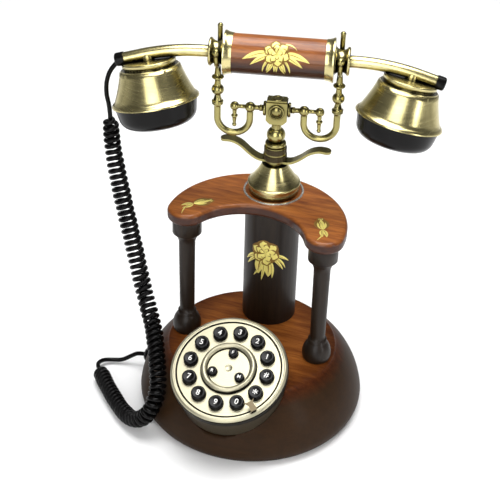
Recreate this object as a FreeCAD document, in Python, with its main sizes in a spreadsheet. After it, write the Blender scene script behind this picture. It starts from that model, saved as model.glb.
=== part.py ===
import FreeCAD, Part
import Sketcher

import math
import os
import re
import sys

from FreeCAD import Placement, Rotation, Vector

# Antique-style desk telephone with a fork cradle and a push-button dial.
# +Z is up, the dial faces -Y, and the origin is the centre of the base on the table.
# Lengths are millimetres and angles are degrees.

SIZES = {
    # base
    "pad_thick": 1.5, "pad_radius": 84, "base_low_radius": 86, "base_wide_radius": 89.6, "base_wide_height": 12,
    "deck_radius": 66.5, "deck_height": 53.7, "skirt_arc": 64, "foot_arc": 14, "wall": 7,
    "plate_thick": 2.5, "plate_radius": 80, "fit_gap": 0.3, "screw_radius": 1.6, "screw_head": 3,
    "screw_circle": 76.5, "base_screw_length": 9,
    "weight_wide": 60, "weight_deep": 34, "weight_tall": 8, "weight_back": 38,
    "board_wide": 76, "board_deep": 50, "board_thick": 1.6, "board_lift": 8, "board_front": -34,
    "ringer_radius": 14, "ringer_tall": 9, "ringer_right": 52, "ringer_back": 22,
    "jack_wide": 14, "jack_tall": 12, "jack_deep": 16, "jack_face": 88.8, "jack_low": 5,
    "socket_wide": 9.6, "socket_tall": 7, "socket_deep": 12,
    # column, posts and top plate
    "column_back": 43, "column_radius": 21.7, "column_bore": 13, "top_under": 159.1, "top_height": 169,
    "post_side": 54.3, "post_front": 3.6, "post_foot": 11.3, "post_shaft": 5.9, "post_neck": 6.4,
    "lobe_radius": 15, "outer_centre": 2, "notch_centre": 29, "top_round": 3, "wire_hole": 8,
    "fixing_circle": 17.3, "fixing_length": 22, "fixing_sunk": 1,
    # bell pedestal and hook switch
    "trim_radius": 23.6, "trim_wide": 1.7, "trim_tall": 1, "bell_radius": 20.4, "bell_top_radius": 9.8, "bell_band": 177.8,
    "bell_top": 193.2, "bell_arc": 60, "bell_wall": 2, "stem_radius": 4, "running_gap": 0.05,
    "hook_travel": 3, "collar_low": 184, "collar_thick": 2, "collar_radius": 7.5,
    "spring_radius": 6, "spring_wire": 0.9, "spring_turns": 4, "switch_top": 149.5, "stem_low": 150,
    # dial, measured along its own normal from the tops of the keys
    "dial_front": 59.4, "dial_height": 71, "dial_tilt": 24.1, "rim_radius": 45.4, "drum_radius": 43,
    "drum_wall": 2, "drum_depth": 40, "face_radius": 40.2, "face_top": -4.3, "face_thick": 1.2,
    "key_circle": 30.5, "key_radius": 5.5, "key_gap": 0.3, "key_flange": 6.4, "key_travel": 1.5,
    "key_dome": 8, "hub_key_circle": 12.4, "hub_key_radius": 3.6, "hub_radius": 21.3, "hub_inner": 16.4,
    "hub_floor": -3.3, "membrane_top": -10.5, "membrane_thick": 1, "keyboard_thick": 1.6,
    "keyboard_radius": 38.3, "stop_angle": -45,
    # cradle, in its own frame turned about the column axis
    "cradle_turn": 11.8, "lever_turn": -6.3, "rod_height": 239.3, "fork_side": 45, "ball_side": 20.3,
    "tip_side": 32, "arm_tube": 2.6, "bend_height": 229.3, "block_wide": 15.8, "block_deep": 10.8,
    "block_low": 228.7, "block_top": 246.4, "block_slope": 3, "lever_height": 196.3, "lever_reach": 43, "lever_wide": 8.6, "lever_thick": 1.8,
    "saddle_radius": 10.2, "tine_radius": 1.9, "tine_front": 286, "tine_back": 298.5,
    # handset, along its own axis
    "hand_height": 282.25, "barrel_half": 34, "barrel_radius": 14.6, "core_radius": 5, "core_half": 40,
    "spool_neck": 7.9, "spool_rim": 10.5, "spool_end": 51.6, "arm_radius": 4.5, "arm_wall": 1,
    "arm_straight": 56, "arm_bend": 170, "arm_angle": 16, "arm_end": 114.5, "hand_swing": 12, "cap_radius": 5.1,
    "cap_long": 7, "cup_side": 95.6, "cup_drop": 14.4, "cup_tilt": 11.5, "cup_radius": 33, "cup_top": 22.8,
    "cup_tall": 26.2, "disc_radius": 20.3, "mouth_radius": 31.2, "mouth_tall": 18, "capsule_radius": 22,
    "capsule_tall": 9, "lift_travel": 100,
    # cord
    "cord_thick": 3.6, "coil_thick": 14, "bushing_height": 11, "bushing_side": 2,
}

KEYS = ("hash", "1", "2", "3", "4", "5", "6", "7", "8", "9", "0", "star")
HUB_KEYS = (("flash", 90), ("redial", 210), ("mute", 330))

doc = FreeCAD.newDocument("Telephone")
sheet = doc.addObject("Spreadsheet::Sheet", "Sizes")
for row, (alias, size) in enumerate(SIZES.items(), 1):
    sheet.set(f"A{row}", alias.replace("_", " "))
    sheet.set(f"B{row}", str(size))
    sheet.setAlias(f"B{row}", alias)
doc.recompute()

subparts = {}


# ---------------------------------------------------------------- sheet helpers
def value(text):
    """The number that a sheet expression gives now."""
    return float(sheet.evalExpression(str(text)))


def cell(text):
    """The same expression with each alias written as a reference to the sheet."""
    return re.sub(r"[a-z][a-z_]+", lambda word: "Sizes." + word.group() if word.group() in SIZES
                  else word.group(), str(text))


def bind(item, **properties):
    """Tie properties of an object to sheet expressions."""
    for name, text in properties.items():
        item.setExpression(name, cell(text))
    return item


def put(item, east="0", north="0", up="0", axis=(0, 0, 1), angle="0"):
    """Place an object by expressions: a turn about an axis, then a move."""
    item.Placement = Placement(Vector(), Rotation(Vector(*axis), 10))
    item.setExpression("Placement.Base.x", cell(east))
    item.setExpression("Placement.Base.y", cell(north))
    item.setExpression("Placement.Base.z", cell(up))
    item.setExpression("Placement.Rotation.Angle", cell(angle))
    return item


def keep(label, item):
    """Name an object as one separate piece of the telephone."""
    item.Label = label
    subparts[label] = item
    return item


# ---------------------------------------------------------------- shape helpers
def plane(body, role):
    """One of a body's own origin planes or axes."""
    return next(item for item in body.Origin.OriginFeatures if item.Role == role)


def arc_between(start, end, radius):
    """A circle arc from start to end that bulges to the right of travel, or to the left if negative."""
    chord = end - start
    half = chord.Length / 2
    side = Vector(chord.y, -chord.x, 0).normalize() * (1 if radius > 0 else -1)
    centre = start + chord / 2 - side * math.sqrt(radius * radius - half * half)
    return Part.Arc(start, centre + side * abs(radius), end)


def outline_sketch(body, role, corners, name):
    """A closed outline. A corner is (across, up), and a third item is the radius of the arc to it."""
    sketch = body.newObject("Sketcher::SketchObject", name)
    sketch.AttachmentSupport = [(plane(body, role), "")]
    sketch.MapMode = "FlatFace"
    spots = [Vector(value(corner[0]), value(corner[1]), 0) for corner in corners]
    edges = []
    for index, corner in enumerate(corners):
        start = spots[index - 1]
        if len(corner) > 2:
            edges.append(arc_between(start, spots[index], value(corner[2])))
        else:
            edges.append(Part.LineSegment(start, spots[index]))
    sketch.addGeometry(edges, False)
    rules = []
    bound = []
    for index, corner in enumerate(corners):
        # an arc is stored anticlockwise, so its end point may be geometry point 1
        first, last = end_points(sketch, index, spots[index])
        following = (index + 1) % len(corners)
        next_first = end_points(sketch, following, spots[following])[0]
        rules.append(Sketcher.Constraint("Coincident", index, last, following, next_first))
        for kind, text, number in (("DistanceX", corner[0], spots[index].x), ("DistanceY", corner[1], spots[index].y)):
            bound.append((len(rules), text))
            rules.append(Sketcher.Constraint(kind, -1, 1, index, last, number))
        if len(corner) > 2:
            bound.append((len(rules), f"abs({corner[2]})"))
            rules.append(Sketcher.Constraint("Radius", index, abs(value(corner[2]))))
    sketch.addConstraint(rules)
    for number, text in bound:
        sketch.setExpression(f"Constraints[{number}]", cell(text))
    return sketch


def end_points(sketch, index, spot):
    """Which end of an edge (1 or 2) is its start, and which is the end at the given spot."""
    at_end = (sketch.getPoint(index, 2) - spot).Length < 1e-6
    return (1, 2) if at_end else (2, 1)


def turned(label, corners):
    """A piece turned on a lathe about its own Z axis. Corners are (radius, height[, arc radius])."""
    body = doc.addObject("PartDesign::Body", label + "_body")
    sketch = outline_sketch(body, "XZ_Plane", corners, label + "_outline")
    spin = body.newObject("PartDesign::Revolution", label + "_spin")
    spin.Profile = sketch
    spin.ReferenceAxis = (plane(body, "Z_Axis"), [""])
    spin.Angle = 360
    body.Tip = spin
    return body


def slab(label, corners, thick, round_edge=None):
    """A flat piece cut from an outline in the XY plane, padded up by thick."""
    body = doc.addObject("PartDesign::Body", label + "_body")
    sketch = outline_sketch(body, "XY_Plane", corners, label + "_outline")
    pad = body.newObject("PartDesign::Pad", label + "_pad")
    pad.Profile = sketch
    bind(pad, Length=thick)
    body.Tip = pad
    if round_edge:
        doc.recompute()
        flat = [f"Edge{number}" for number, edge in enumerate(pad.Shape.Edges, 1)
                if abs(edge.BoundBox.ZMax - edge.BoundBox.ZMin) < 1e-6]
        rounding = body.newObject("PartDesign::Fillet", label + "_round")
        rounding.Base = (pad, flat)
        bind(rounding, Radius=round_edge)
        body.Tip = rounding
    return body


def box(name, wide, deep, tall, **place):
    """A box centred on X and Y of its own frame, standing on Z."""
    item = doc.addObject("Part::Box", name)
    bind(item, Length=wide, Width=deep, Height=tall)
    place["east"] = f"{place.get('east', '0')} - ({wide}) / 2"
    place["north"] = f"{place.get('north', '0')} - ({deep}) / 2"
    return put(item, **place)


def rod(name, radius, tall, **place):
    """A plain cylinder standing on Z of its own frame."""
    item = doc.addObject("Part::Cylinder", name)
    bind(item, Radius=radius, Height=tall)
    return put(item, **place)


def fuse(name, items):
    """Join touching or overlapping items into one piece."""
    item = doc.addObject("Part::MultiFuse", name)
    item.Shapes = items
    return item


def group(name, items):
    """Hold separate solids as one node."""
    item = doc.addObject("Part::Compound", name)
    item.Links = items
    return item


def cut(name, base, *tools):
    """Take tools away from a base item."""
    item = doc.addObject("Part::Cut", name)
    item.Base = base
    item.Tool = tools[0] if len(tools) == 1 else fuse(name + "_tools", list(tools))
    return item


def around(count, start=0):
    """Equally spaced angles."""
    return [start + 360 / count * number for number in range(count)]


def rounded_path(points):
    """Straight runs joined by tangent arcs, each as large as its two runs allow. Returns edges, radii."""
    edges = []
    radii = []
    start = points[0]
    for before, corner, after in zip(points, points[1:], points[2:]):
        back = (before - corner).normalize()
        ahead = (after - corner).normalize()
        turn = math.pi - back.getAngle(ahead)
        reach = 0.45 * min((before - corner).Length, (after - corner).Length)
        radius = reach / math.tan(turn / 2)
        middle = (back + ahead).normalize() * (math.hypot(radius, reach) - radius)
        first = corner + back * reach
        last = corner + ahead * reach
        edges.append(Part.LineSegment(start, first).toShape())
        edges.append(Part.Arc(first, corner + middle, last).toShape())
        radii.append(radius)
        start = last
    edges.append(Part.LineSegment(start, points[-1]).toShape())
    return edges, radii


def tube_along(edges, radius, bore=0):
    """A round rod, or a tube if bore is given, along a chain of edges."""
    path = Part.Wire(edges)
    first = edges[0]
    direction = first.tangentAt(first.FirstParameter)
    start = first.valueAt(first.FirstParameter)
    solids = []
    for size in filter(None, (radius, bore)):
        circle = Part.Wire(Part.Circle(start, direction, size).toShape())
        solids.append(path.makePipeShell([circle], True, True))
    return solids[0].cut(solids[1]) if bore else solids[0]


def feature(name, shape):
    """A document object that holds a ready shape."""
    item = doc.addObject("Part::Feature", name)
    item.Shape = shape
    return item


# ---------------------------------------------------------------- base
def base_parts():
    low = "pad_thick"
    shell = turned("base_shell", [
        ("plate_radius + fit_gap", low), ("base_low_radius", low),
        ("base_wide_radius", "base_wide_height", "foot_arc"), ("deck_radius + 0.5", "deck_height - 1", "skirt_arc"),
        ("deck_radius - 0.7", "deck_height", "1.4"),
        ("0", "deck_height"), ("0", "deck_height - wall"), ("deck_radius - wall", "deck_height - wall"),
        ("base_wide_radius - wall - 2", "base_wide_height + 4", "-skirt_arc"),
        ("screw_circle - 5", "base_wide_height + 2"), ("screw_circle - 5", "pad_thick + plate_thick"),
        ("plate_radius + fit_gap", "pad_thick + plate_thick")])
    drum_hole = dial_place(rod("base_drum_hole", "drum_radius + fit_gap", "drum_depth * 2"), up="-drum_depth - 5")
    wires = rod("base_wire_hole", "wire_hole", "wall * 3", north="column_back", up="deck_height - wall * 2")
    jack_hole = box("base_jack_hole", "jack_wide + fit_gap", "jack_deep * 2", "jack_tall + fit_gap",
                    north="jack_face", up="jack_low - fit_gap / 2")
    cord_hole = rod("base_cord_hole", "5 + running_gap", "30", east="-base_wide_radius + 10",
                    north="bushing_side", up="bushing_height", axis=(0, 1, 0), angle="-90")
    keep("base_shell", cut("base_shell_cut", shell, drum_hole, wires, jack_hole, cord_hole,
                           *screw_holes("shell"), *frame_holes("shell")))
    bottom = rod("bottom_disc", "plate_radius", "plate_thick", up="pad_thick")
    posts = [rod(f"board_post_{number}", "2.5", "board_lift - pad_thick - plate_thick + 0.1",
                 east=f"{side} * (board_wide / 2 - 6)", north=f"board_front + board_deep / 2 + {end} * 19",
                 up="pad_thick + plate_thick - 0.1")
             for number, (side, end) in enumerate([(-1, -1), (1, -1), (-1, 1), (1, 1)])]
    keep("bottom_plate", cut("bottom_plate_cut", fuse("bottom_plate_fuse", [bottom, *posts]),
                             *screw_holes("plate")))
    keep("base_pad", rod("base_pad_disc", "pad_radius", "pad_thick"))
    keep("ballast_weight", box("ballast_box", "weight_wide", "weight_deep", "weight_tall",
                               north="weight_back", up="pad_thick + plate_thick"))
    base_electrics()
    screws = [*wood_screws("base", screw_spots(), "pad_thick", "base_screw_length")]
    screws += wood_screws("frame", frame_spots(), "deck_height - wall + fixing_sunk", "fixing_length")
    keep("wood_screws", group("wood_screws_group", screws))


def screw_spots():
    """Places of the screws that hold the bottom plate."""
    return [(f"screw_circle * cos({angle})", f"screw_circle * sin({angle})") for angle in (50, 140, 215, 325)]


def frame_spots():
    """Places of the screws that hold the column and the two posts to the deck."""
    spots = [(f"fixing_circle * cos({angle})", f"column_back + fixing_circle * sin({angle})")
             for angle in around(3, 90)]
    return spots + [("-post_side", "-post_front"), ("post_side", "-post_front")]


def wood_screws(name, spots, low, length):
    """Countersunk screws pointing up from low."""
    screws = []
    for number, (east, north) in enumerate(spots):
        screw = turned(f"{name}_screw_{number}", [
            ("0", "0"), ("screw_head", "0"), ("screw_radius", "screw_head - screw_radius"),
            ("screw_radius", f"{length} - 2"), ("0", length)])
        screws.append(put(screw, east=east, north=north, up=low))
    return screws


def screw_holes(name):
    """Holes for the bottom plate's screws, with room for their heads."""
    holes = []
    for number, (east, north) in enumerate(screw_spots()):
        holes.append(rod(f"{name}_hole_{number}", "screw_radius + running_gap", "base_screw_length + 1",
                         east=east, north=north, up="pad_thick - 0.5"))
        holes.append(rod(f"{name}_sink_{number}", "screw_head + running_gap", "1.9",
                         east=east, north=north, up="pad_thick - 0.5"))
    return holes


def frame_holes(name):
    """Holes for the screws that go up through the deck into the column and posts."""
    holes = []
    for number, (east, north) in enumerate(frame_spots()):
        holes.append(rod(f"{name}_frame_hole_{number}", "screw_radius + running_gap", "fixing_length + 1",
                         east=east, north=north, up="deck_height - wall + 0.5"))
        holes.append(rod(f"{name}_frame_sink_{number}", "screw_head + running_gap", "fixing_sunk + 1.5",
                         east=east, north=north, up="deck_height - wall - 0.1"))
    return holes


def base_electrics():
    board = box("main_board_blank", "board_wide", "board_deep", "board_thick",
                north="board_front + board_deep / 2", up="board_lift")
    chips = [box("main_chip", "16", "10", "3", east="-10", north="-12", up="board_lift + board_thick - 0.1"),
             box("main_relay", "14", "9", "7", east="20", north="-2", up="board_lift + board_thick - 0.1"),
             rod("main_capacitor", "4", "8", east="-26", north="0", up="board_lift + board_thick - 0.1")]
    keep("main_board", fuse("main_board_fuse", [board, *chips]))
    low = "pad_thick + plate_thick"
    keep("ringer_speaker", put(turned("ringer", [
        ("0", "0"), ("ringer_radius", "0"), ("ringer_radius", "ringer_tall - 2"),
        ("ringer_radius - 2", "ringer_tall"), ("3", "ringer_tall"), ("3", "ringer_tall - 3"),
        ("0", "ringer_tall - 3")]), east="ringer_right", north="ringer_back", up=low))
    jack = box("jack_block", "jack_wide", "jack_deep", "jack_tall", north="jack_face - jack_deep / 2",
               up="jack_low")
    socket = box("jack_socket", "socket_wide", "socket_deep + 2", "socket_tall",
                 north="jack_face - socket_deep / 2 + 1", up="jack_low + 2.5")
    keep("line_jack", cut("line_jack_cut", jack, socket))
    bushing = turned("cord_bushing", [
        ("cord_thick / 2", "-6"), ("5", "-6"), ("5", "0.8"), ("6.4", "0.8"), ("6.4", "2.2"),
        ("4.6", "4.2"), ("cord_thick / 2", "4.2")])
    keep("cord_bushing", put(bushing, east="-base_wide_radius", north="bushing_side", up="bushing_height",
                             axis=(0, 1, 0), angle="-90"))


# ---------------------------------------------------------------- column, posts, top plate
def frame_parts():
    column = turned("column", [
        ("column_bore", "deck_height"), ("column_radius", "deck_height"),
        ("column_radius", "top_under"), ("column_bore", "top_under")])
    put(column, north="column_back")
    keep("column", cut("column_cut", column, *frame_holes("column")))
    for name, side in (("left", "-1"), ("right", "1")):
        post = turned(f"post_{name}", [
            ("0", "0"), ("post_foot - 1.1", "0"), ("post_foot", "5", "9"), ("post_shaft + 1.4", "16", "16"),
            ("post_shaft + 1.4", "18.4"), ("post_shaft", "18.9"), ("post_neck", "83.5"),
            ("post_foot", "93", "-14"), ("post_foot", "top_under - deck_height"),
            ("0", "top_under - deck_height")])
        put(post, east=f"{side} * post_side", north="-post_front", up="deck_height")
        keep(f"post_{name}", cut(f"post_{name}_cut", post, *frame_holes(f"post_{name}")))
    top_plate()


def top_plate():
    """Crescent plate: an outer arc, a round lobe over each post and a notch arc in front."""
    reach = "hypot(post_side; outer_centre - post_front)"
    notch = "hypot(post_side; notch_centre - post_front)"
    # points where neighbouring arcs touch, on the line through their two centres
    out_x = f"post_side + lobe_radius * post_side / {reach}"
    out_y = f"-post_front - lobe_radius * (post_front - outer_centre) / {reach}"
    in_x = f"post_side - lobe_radius * post_side / {notch}"
    in_y = f"-post_front - lobe_radius * (notch_centre - post_front) / {notch}"
    plate = slab("top_plate", [
        ("0", f"{reach} + lobe_radius - outer_centre", f"{reach} + lobe_radius"),
        (f"-({out_x})", out_y, f"{reach} + lobe_radius"), ("-post_side", "-post_front - lobe_radius", "lobe_radius"),
        (f"-({in_x})", in_y, "lobe_radius"),
        ("0", f"{notch} - lobe_radius - notch_centre", f"-({notch} - lobe_radius)"),
        (in_x, in_y, f"-({notch} - lobe_radius)"), ("post_side", "-post_front - lobe_radius", "lobe_radius"),
        (out_x, out_y, "lobe_radius")], "top_height - top_under", "top_round")
    put(plate, up="top_under")
    bore = rod("top_plate_bore", "stem_radius + 0.3", "30", north="column_back", up="top_under - 10")
    keep("top_plate", cut("top_plate_cut", plate, bore))


# ---------------------------------------------------------------- bell pedestal and hook switch
def pedestal_parts():
    trim = turned("trim_ring", [
        ("trim_radius - trim_wide", "0"), ("trim_radius", "0"), ("trim_radius", "trim_tall - 0.4"),
        ("trim_radius - 0.4", "trim_tall"), ("trim_radius - trim_wide + 0.4", "trim_tall"),
        ("trim_radius - trim_wide", "trim_tall - 0.4")])
    keep("trim_ring", put(trim, north="column_back", up="top_height"))
    bell = turned("bell_pedestal", [
        ("bell_radius - bell_wall - 1.1", "top_height"), ("bell_radius - 1.1", "top_height"),
        ("bell_radius", "bell_band - 0.9"), ("bell_radius - 0.6", "bell_band", "0.8"),
        ("bell_top_radius", "bell_top", "-bell_arc"),
        ("stem_radius + running_gap", "bell_top"), ("stem_radius + running_gap", "bell_top - 3"),
        ("bell_top_radius - bell_wall + 0.6", "bell_top - 3"), ("bell_radius - bell_wall - 1.6", "bell_band - 1")])
    keep("bell_pedestal", put(bell, north="column_back"))
    body = box("switch_body", "18", "8", "11", north="column_back", up="switch_top - 12")
    button = rod("switch_button", "1.5", "1.2", north="column_back", up="switch_top - 1.2")
    bracket = rod("switch_bracket", "column_bore", "2", north="column_back", up="switch_top - 13.9")
    keep("hook_switch", fuse("hook_switch_fuse", [body, button, bracket]))
    low = value("top_height + spring_wire")
    tall = value("collar_low - top_height - spring_wire * 2")
    turns = value("spring_turns")
    radius = value("spring_radius")
    coil = Part.makeHelix(tall / turns, tall, radius)
    wire = Part.Wire(Part.Circle(Vector(radius, 0, 0), Vector(0, 1, 0), value("spring_wire / 2")).toShape())
    spring = feature("plunger_spring_coil", Part.Wire(coil).makePipeShell([wire], True, True))
    spring.Placement = Placement(Vector(0, value("column_back"), low), Rotation())
    keep("plunger_spring", spring)


# ---------------------------------------------------------------- dial
def dial_place(item, side="0", rise="0", up="0", turn=None):
    """Place an item on the dial: side and rise lie in its face and up is along its normal."""
    return put(item, east=side, north=f"-dial_front + ({rise}) * cos(dial_tilt) - ({up}) * sin(dial_tilt)",
               up=f"dial_height + ({rise}) * sin(dial_tilt) + ({up}) * cos(dial_tilt)",
               axis=(1, 0, 0), angle="dial_tilt")


def dial_parts():
    floor = "-drum_depth"
    drum = turned("dial_housing", [
        ("wire_hole", floor), ("drum_radius - 2", floor), ("drum_radius", "-drum_depth + 2", "3"),
        ("drum_radius", "-11.4"), ("rim_radius - 1", "-11"), ("drum_radius - drum_wall", "-11"),
        ("drum_radius - drum_wall", "-drum_depth + drum_wall"), ("wire_hole", "-drum_depth + drum_wall")])
    board_low = "membrane_top - membrane_thick - keyboard_thick"
    pillars = [dial_place(rod(f"dial_pillar_{number}", "3", f"{board_low} + drum_depth - 1"),
                          side=f"34 * cos({angle})", rise=f"34 * sin({angle})", up="-drum_depth + 1")
               for number, angle in enumerate(around(3, 45))]
    keep("dial_housing", fuse("dial_housing_fuse", [dial_place(drum), *pillars]))
    keep("dial_bezel", dial_place(turned("dial_bezel", [
        ("face_radius - 1.6", "-11"), ("rim_radius - 0.8", "-11"), ("rim_radius", "-10", "1.2"),
        ("rim_radius", "-7.4"), ("rim_radius - 2.7", "-3.6", "3.4"), ("rim_radius - 3.2", "-4.1"),
        ("face_radius + 0.8", "-4.1"), ("face_radius + 0.5", "-4.6", "1"), ("face_radius + 0.5", "face_top - face_thick"),
        ("face_radius - 1.6", "face_top - face_thick")])))
    face = turned("dial_plate", [
        ("hub_radius - 0.5", "face_top - face_thick"), ("face_radius", "face_top - face_thick"),
        ("face_radius", "face_top - 0.3"), ("face_radius - 0.3", "face_top"), ("hub_radius - 0.5", "face_top")])
    holes = [rod(f"plate_key_hole_{number}", "key_radius + key_gap", "8", east=f"key_circle * cos({angle})",
                 north=f"key_circle * sin({angle})", up="-9") for number, angle in enumerate(around(12))]
    keep("dial_plate", dial_place(cut("dial_plate_cut", face, *holes)))
    hub = turned("dial_hub", [
        ("0", "face_top - face_thick"), ("hub_radius - 0.7", "face_top - face_thick"),
        ("hub_radius - 0.7", "face_top"), ("hub_radius", "face_top"), ("hub_radius", "-2.2"),
        ("hub_radius - 2.4", "-0.2", "2.6"), ("hub_inner + 0.6", "-1.2", "4"), ("hub_inner", "hub_floor"),
        ("3", "hub_floor"), ("0", "hub_floor - 0.7", "-(3 ^ 2 + 0.7 ^ 2) / 1.4")])
    hub_holes = [rod(f"hub_key_hole_{name}", "hub_key_radius + key_gap", "8", up="-9",
                     east=f"hub_key_circle * cos({angle})", north=f"hub_key_circle * sin({angle})")
                 for name, angle in HUB_KEYS]
    keep("dial_hub", dial_place(cut("dial_hub_cut", hub, *hub_holes)))
    finger_stop()
    key_parts()
    keep("keypad_membrane", dial_place(rod("membrane_disc", "keyboard_radius", "membrane_thick"),
                                       up="membrane_top - membrane_thick"))
    keep("keypad_board", dial_place(rod("keyboard_disc", "keyboard_radius", "keyboard_thick"), up=board_low))


def finger_stop():
    """A flared tab that leans in from the rim between two keys, on a foot on the bezel."""
    tab = slab("finger_stop_tab", [
        ("34", "-5.2", "-10"), ("38.6", "-2", "-6"), ("43.4", "-2.8"), ("43.4", "2.8"), ("38.6", "2"),
        ("34", "5.2", "-6")], "0.9")
    put(tab, up="0.3")
    foot = box("finger_stop_foot", "1", "4", "5", east="41.6", up="-4.1")
    stop = fuse("finger_stop_fuse", [tab, foot])
    put(stop, angle="stop_angle")
    holder = doc.addObject("Part::Compound", "finger_stop_holder")
    holder.Links = [stop]
    keep("finger_stop", dial_place(holder))


def key_parts():
    for number, name in enumerate(KEYS):
        key_piece(f"key_{name}", "key_radius", "key_flange", "key_circle", 30 * number)
    for name, angle in HUB_KEYS:
        key_piece(f"key_{name}", "hub_key_radius", "hub_key_radius + 0.8", "hub_key_circle", angle)


def key_piece(label, radius, flange, circle, angle):
    """A push key: dished top, a flange under the plate that holds it in, and a stem to the membrane."""
    key = turned(label, [
        ("0", "-0.5"), (f"{radius} - 1.3", "0", f"({radius} - 1.3) ^ 2 + 0.25"), (f"{radius} - 0.5", "-0.1"), (radius, "-0.6"),
        (radius, "face_top - face_thick - 0.4"), (flange, "face_top - face_thick - 0.4"),
        (flange, "face_top - face_thick - 1.2"), ("2", "face_top - face_thick - 1.2"),
        ("2", "membrane_top + key_travel + 0.3"), ("0", "membrane_top + key_travel + 0.3")])
    keep(label, dial_place(key, side=f"{circle} * cos({angle})", rise=f"{circle} * sin({angle})"))


# ---------------------------------------------------------------- cradle
def cradle_place(item):
    return put(item, north="column_back", angle="cradle_turn")


def cradle_parts():
    ring_low = "lever_height - lever_thick / 2 - 1.6"
    drum_low = "lever_height + lever_thick / 2"
    keep("cradle_stem", cradle_place(turned("cradle_stem", [
        ("0", "stem_low"), ("stem_radius", "stem_low"), ("stem_radius", "collar_low"),
        ("collar_radius", "collar_low"), ("collar_radius", "collar_low + collar_thick"),
        ("stem_radius", "collar_low + collar_thick"), ("stem_radius", ring_low), ("6.8", ring_low),
        ("6.8", "lever_height - lever_thick / 2"), ("3.5", "lever_height - lever_thick / 2"), ("3.5", drum_low),
        ("8.8", drum_low), ("8.1", "208.4"), ("7.6", "208.4"), ("7.6", "209.2"), ("8.1", "210.6", "1.2"),
        ("7.2", "212", "1.4"), ("4.9", "212.8"), ("3.7", "223.6", "6.6"), ("3.9", "227.2"), ("3", "227.2"),
        ("3", "234"), ("0", "234")])))
    wing_lever()
    cross_block()
    cross_rod()
    for name, side in (("left", -1), ("right", 1)):
        fork_arm(name, side)


def wing_lever():
    """A wavy brass strip that passes through the stem, with rounded tips that stand higher than its middle."""
    height = value("lever_height")
    reach = value("lever_reach")
    half = [(reach, 12.6), (34, 13.4), (27, 10.8), (19, 3.8), (12.5, 0)]
    points = [Vector(-across, 0, height + rise) for across, rise in half]
    points += [Vector(across, 0, height + rise) for across, rise in reversed(half)]
    edges = rounded_path(points)[0]
    wide = value("lever_wide")
    thick = value("lever_thick")
    start = points[0]
    side = Vector(0, wide / 2 + 4, 0)
    up = (points[1] - start).normalize().cross(Vector(0, 1, 0)) * (thick / 2)
    section = Part.makePolygon([start + side + up, start - side + up, start - side - up, start + side - up,
                                start + side + up])
    strip = Part.Wire(edges).makePipeShell([section], True, True)
    plan = Part.makeBox(2 * reach - wide, wide, 60, Vector(-reach + wide / 2, -wide / 2, height - 20))
    for end in (-1, 1):
        plan = plan.fuse(Part.makeCylinder(wide / 2, 60, Vector(end * (reach - wide / 2), 0, height - 20)))
    plan = plan.fuse(Part.makeCylinder(7.4, 60, Vector(0, 0, height - 20)))
    hole = Part.makeCylinder(3.5, 60, Vector(0, 0, height - 20))
    lever = feature("wing_lever_strip", strip.common(plan).cut(hole).removeSplitter())
    lever.Placement = Placement(Vector(0, value("column_back"), 0),
                                Rotation(Vector(0, 0, 1), value("cradle_turn + lever_turn")))
    keep("wing_lever", lever)


def cross_block():
    side = "block_wide / 2"
    cube = slab("block_cube", [
        (side, "block_top"), (f"-{side}", "block_top"), (f"-{side}", "block_low + block_slope"),
        (f"-{side} + block_slope", "block_low"), (f"{side} - block_slope", "block_low"),
        (side, "block_low + block_slope")], "block_deep")
    put(cube, north="block_deep / 2", axis=(1, 0, 0), angle="90")
    cap = box("block_cap", "block_wide - 1.2", "block_deep - 2", "1.7", up="block_top - 0.1")
    knob = turned("block_knob", [
        ("0", "block_top + 1"), ("4.4", "block_top + 1"), ("4.4", "block_top + 2.2"), ("3.8", "block_top + 2.6"),
        ("2.9", "block_top + 2.6"), ("2.5", "block_top + 2.1"), ("0", "block_top + 2.1")])
    taper = turned("block_taper", [("0", "227.2"), ("4.4", "227.2"), ("4.9", "block_low + 0.1", "-6"),
                                   ("0", "block_low + 0.1")])
    face = "block_deep / 2"
    boss = turned("block_boss", [
        ("0", f"-{face} - 1.4"), ("5.6", f"-{face} - 1.4"), ("5.8", f"{face} + 1.1"), ("5", f"{face} + 1.5"),
        ("4.5", f"{face} + 0.2"), ("4.1", f"{face} + 0.2"), ("0", f"{face} + 1.8", "(4.1 ^ 2 + 1.6 ^ 2) / 3.2")])
    put(boss, up="rod_height", axis=(1, 0, 0), angle="90")
    plates = turned("block_plates", [("0", "-block_wide / 2 - 2.4"), ("5.4", "-block_wide / 2 - 2.4"),
                                     ("5.8", "-block_wide / 2 - 0.9"), ("4.4", "-block_wide / 2 + 0.2"),
                                     ("4.4", "block_wide / 2 - 0.2"), ("5.8", "block_wide / 2 + 0.9"),
                                     ("5.4", "block_wide / 2 + 2.4"), ("0", "block_wide / 2 + 2.4")])
    put(plates, up="rod_height", axis=(0, 1, 0), angle="90")
    tenon = rod("block_tenon", "3", "8", up="226.5")
    bore = rod("block_bore", "1.9", "60", east="-30", up="rod_height", axis=(0, 1, 0), angle="90")
    block = cut("cross_block_cut", fuse("cross_block_fuse", [cube, cap, knob, taper, boss, plates]), tenon, bore)
    keep("cross_block", cradle_place(block))


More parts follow.
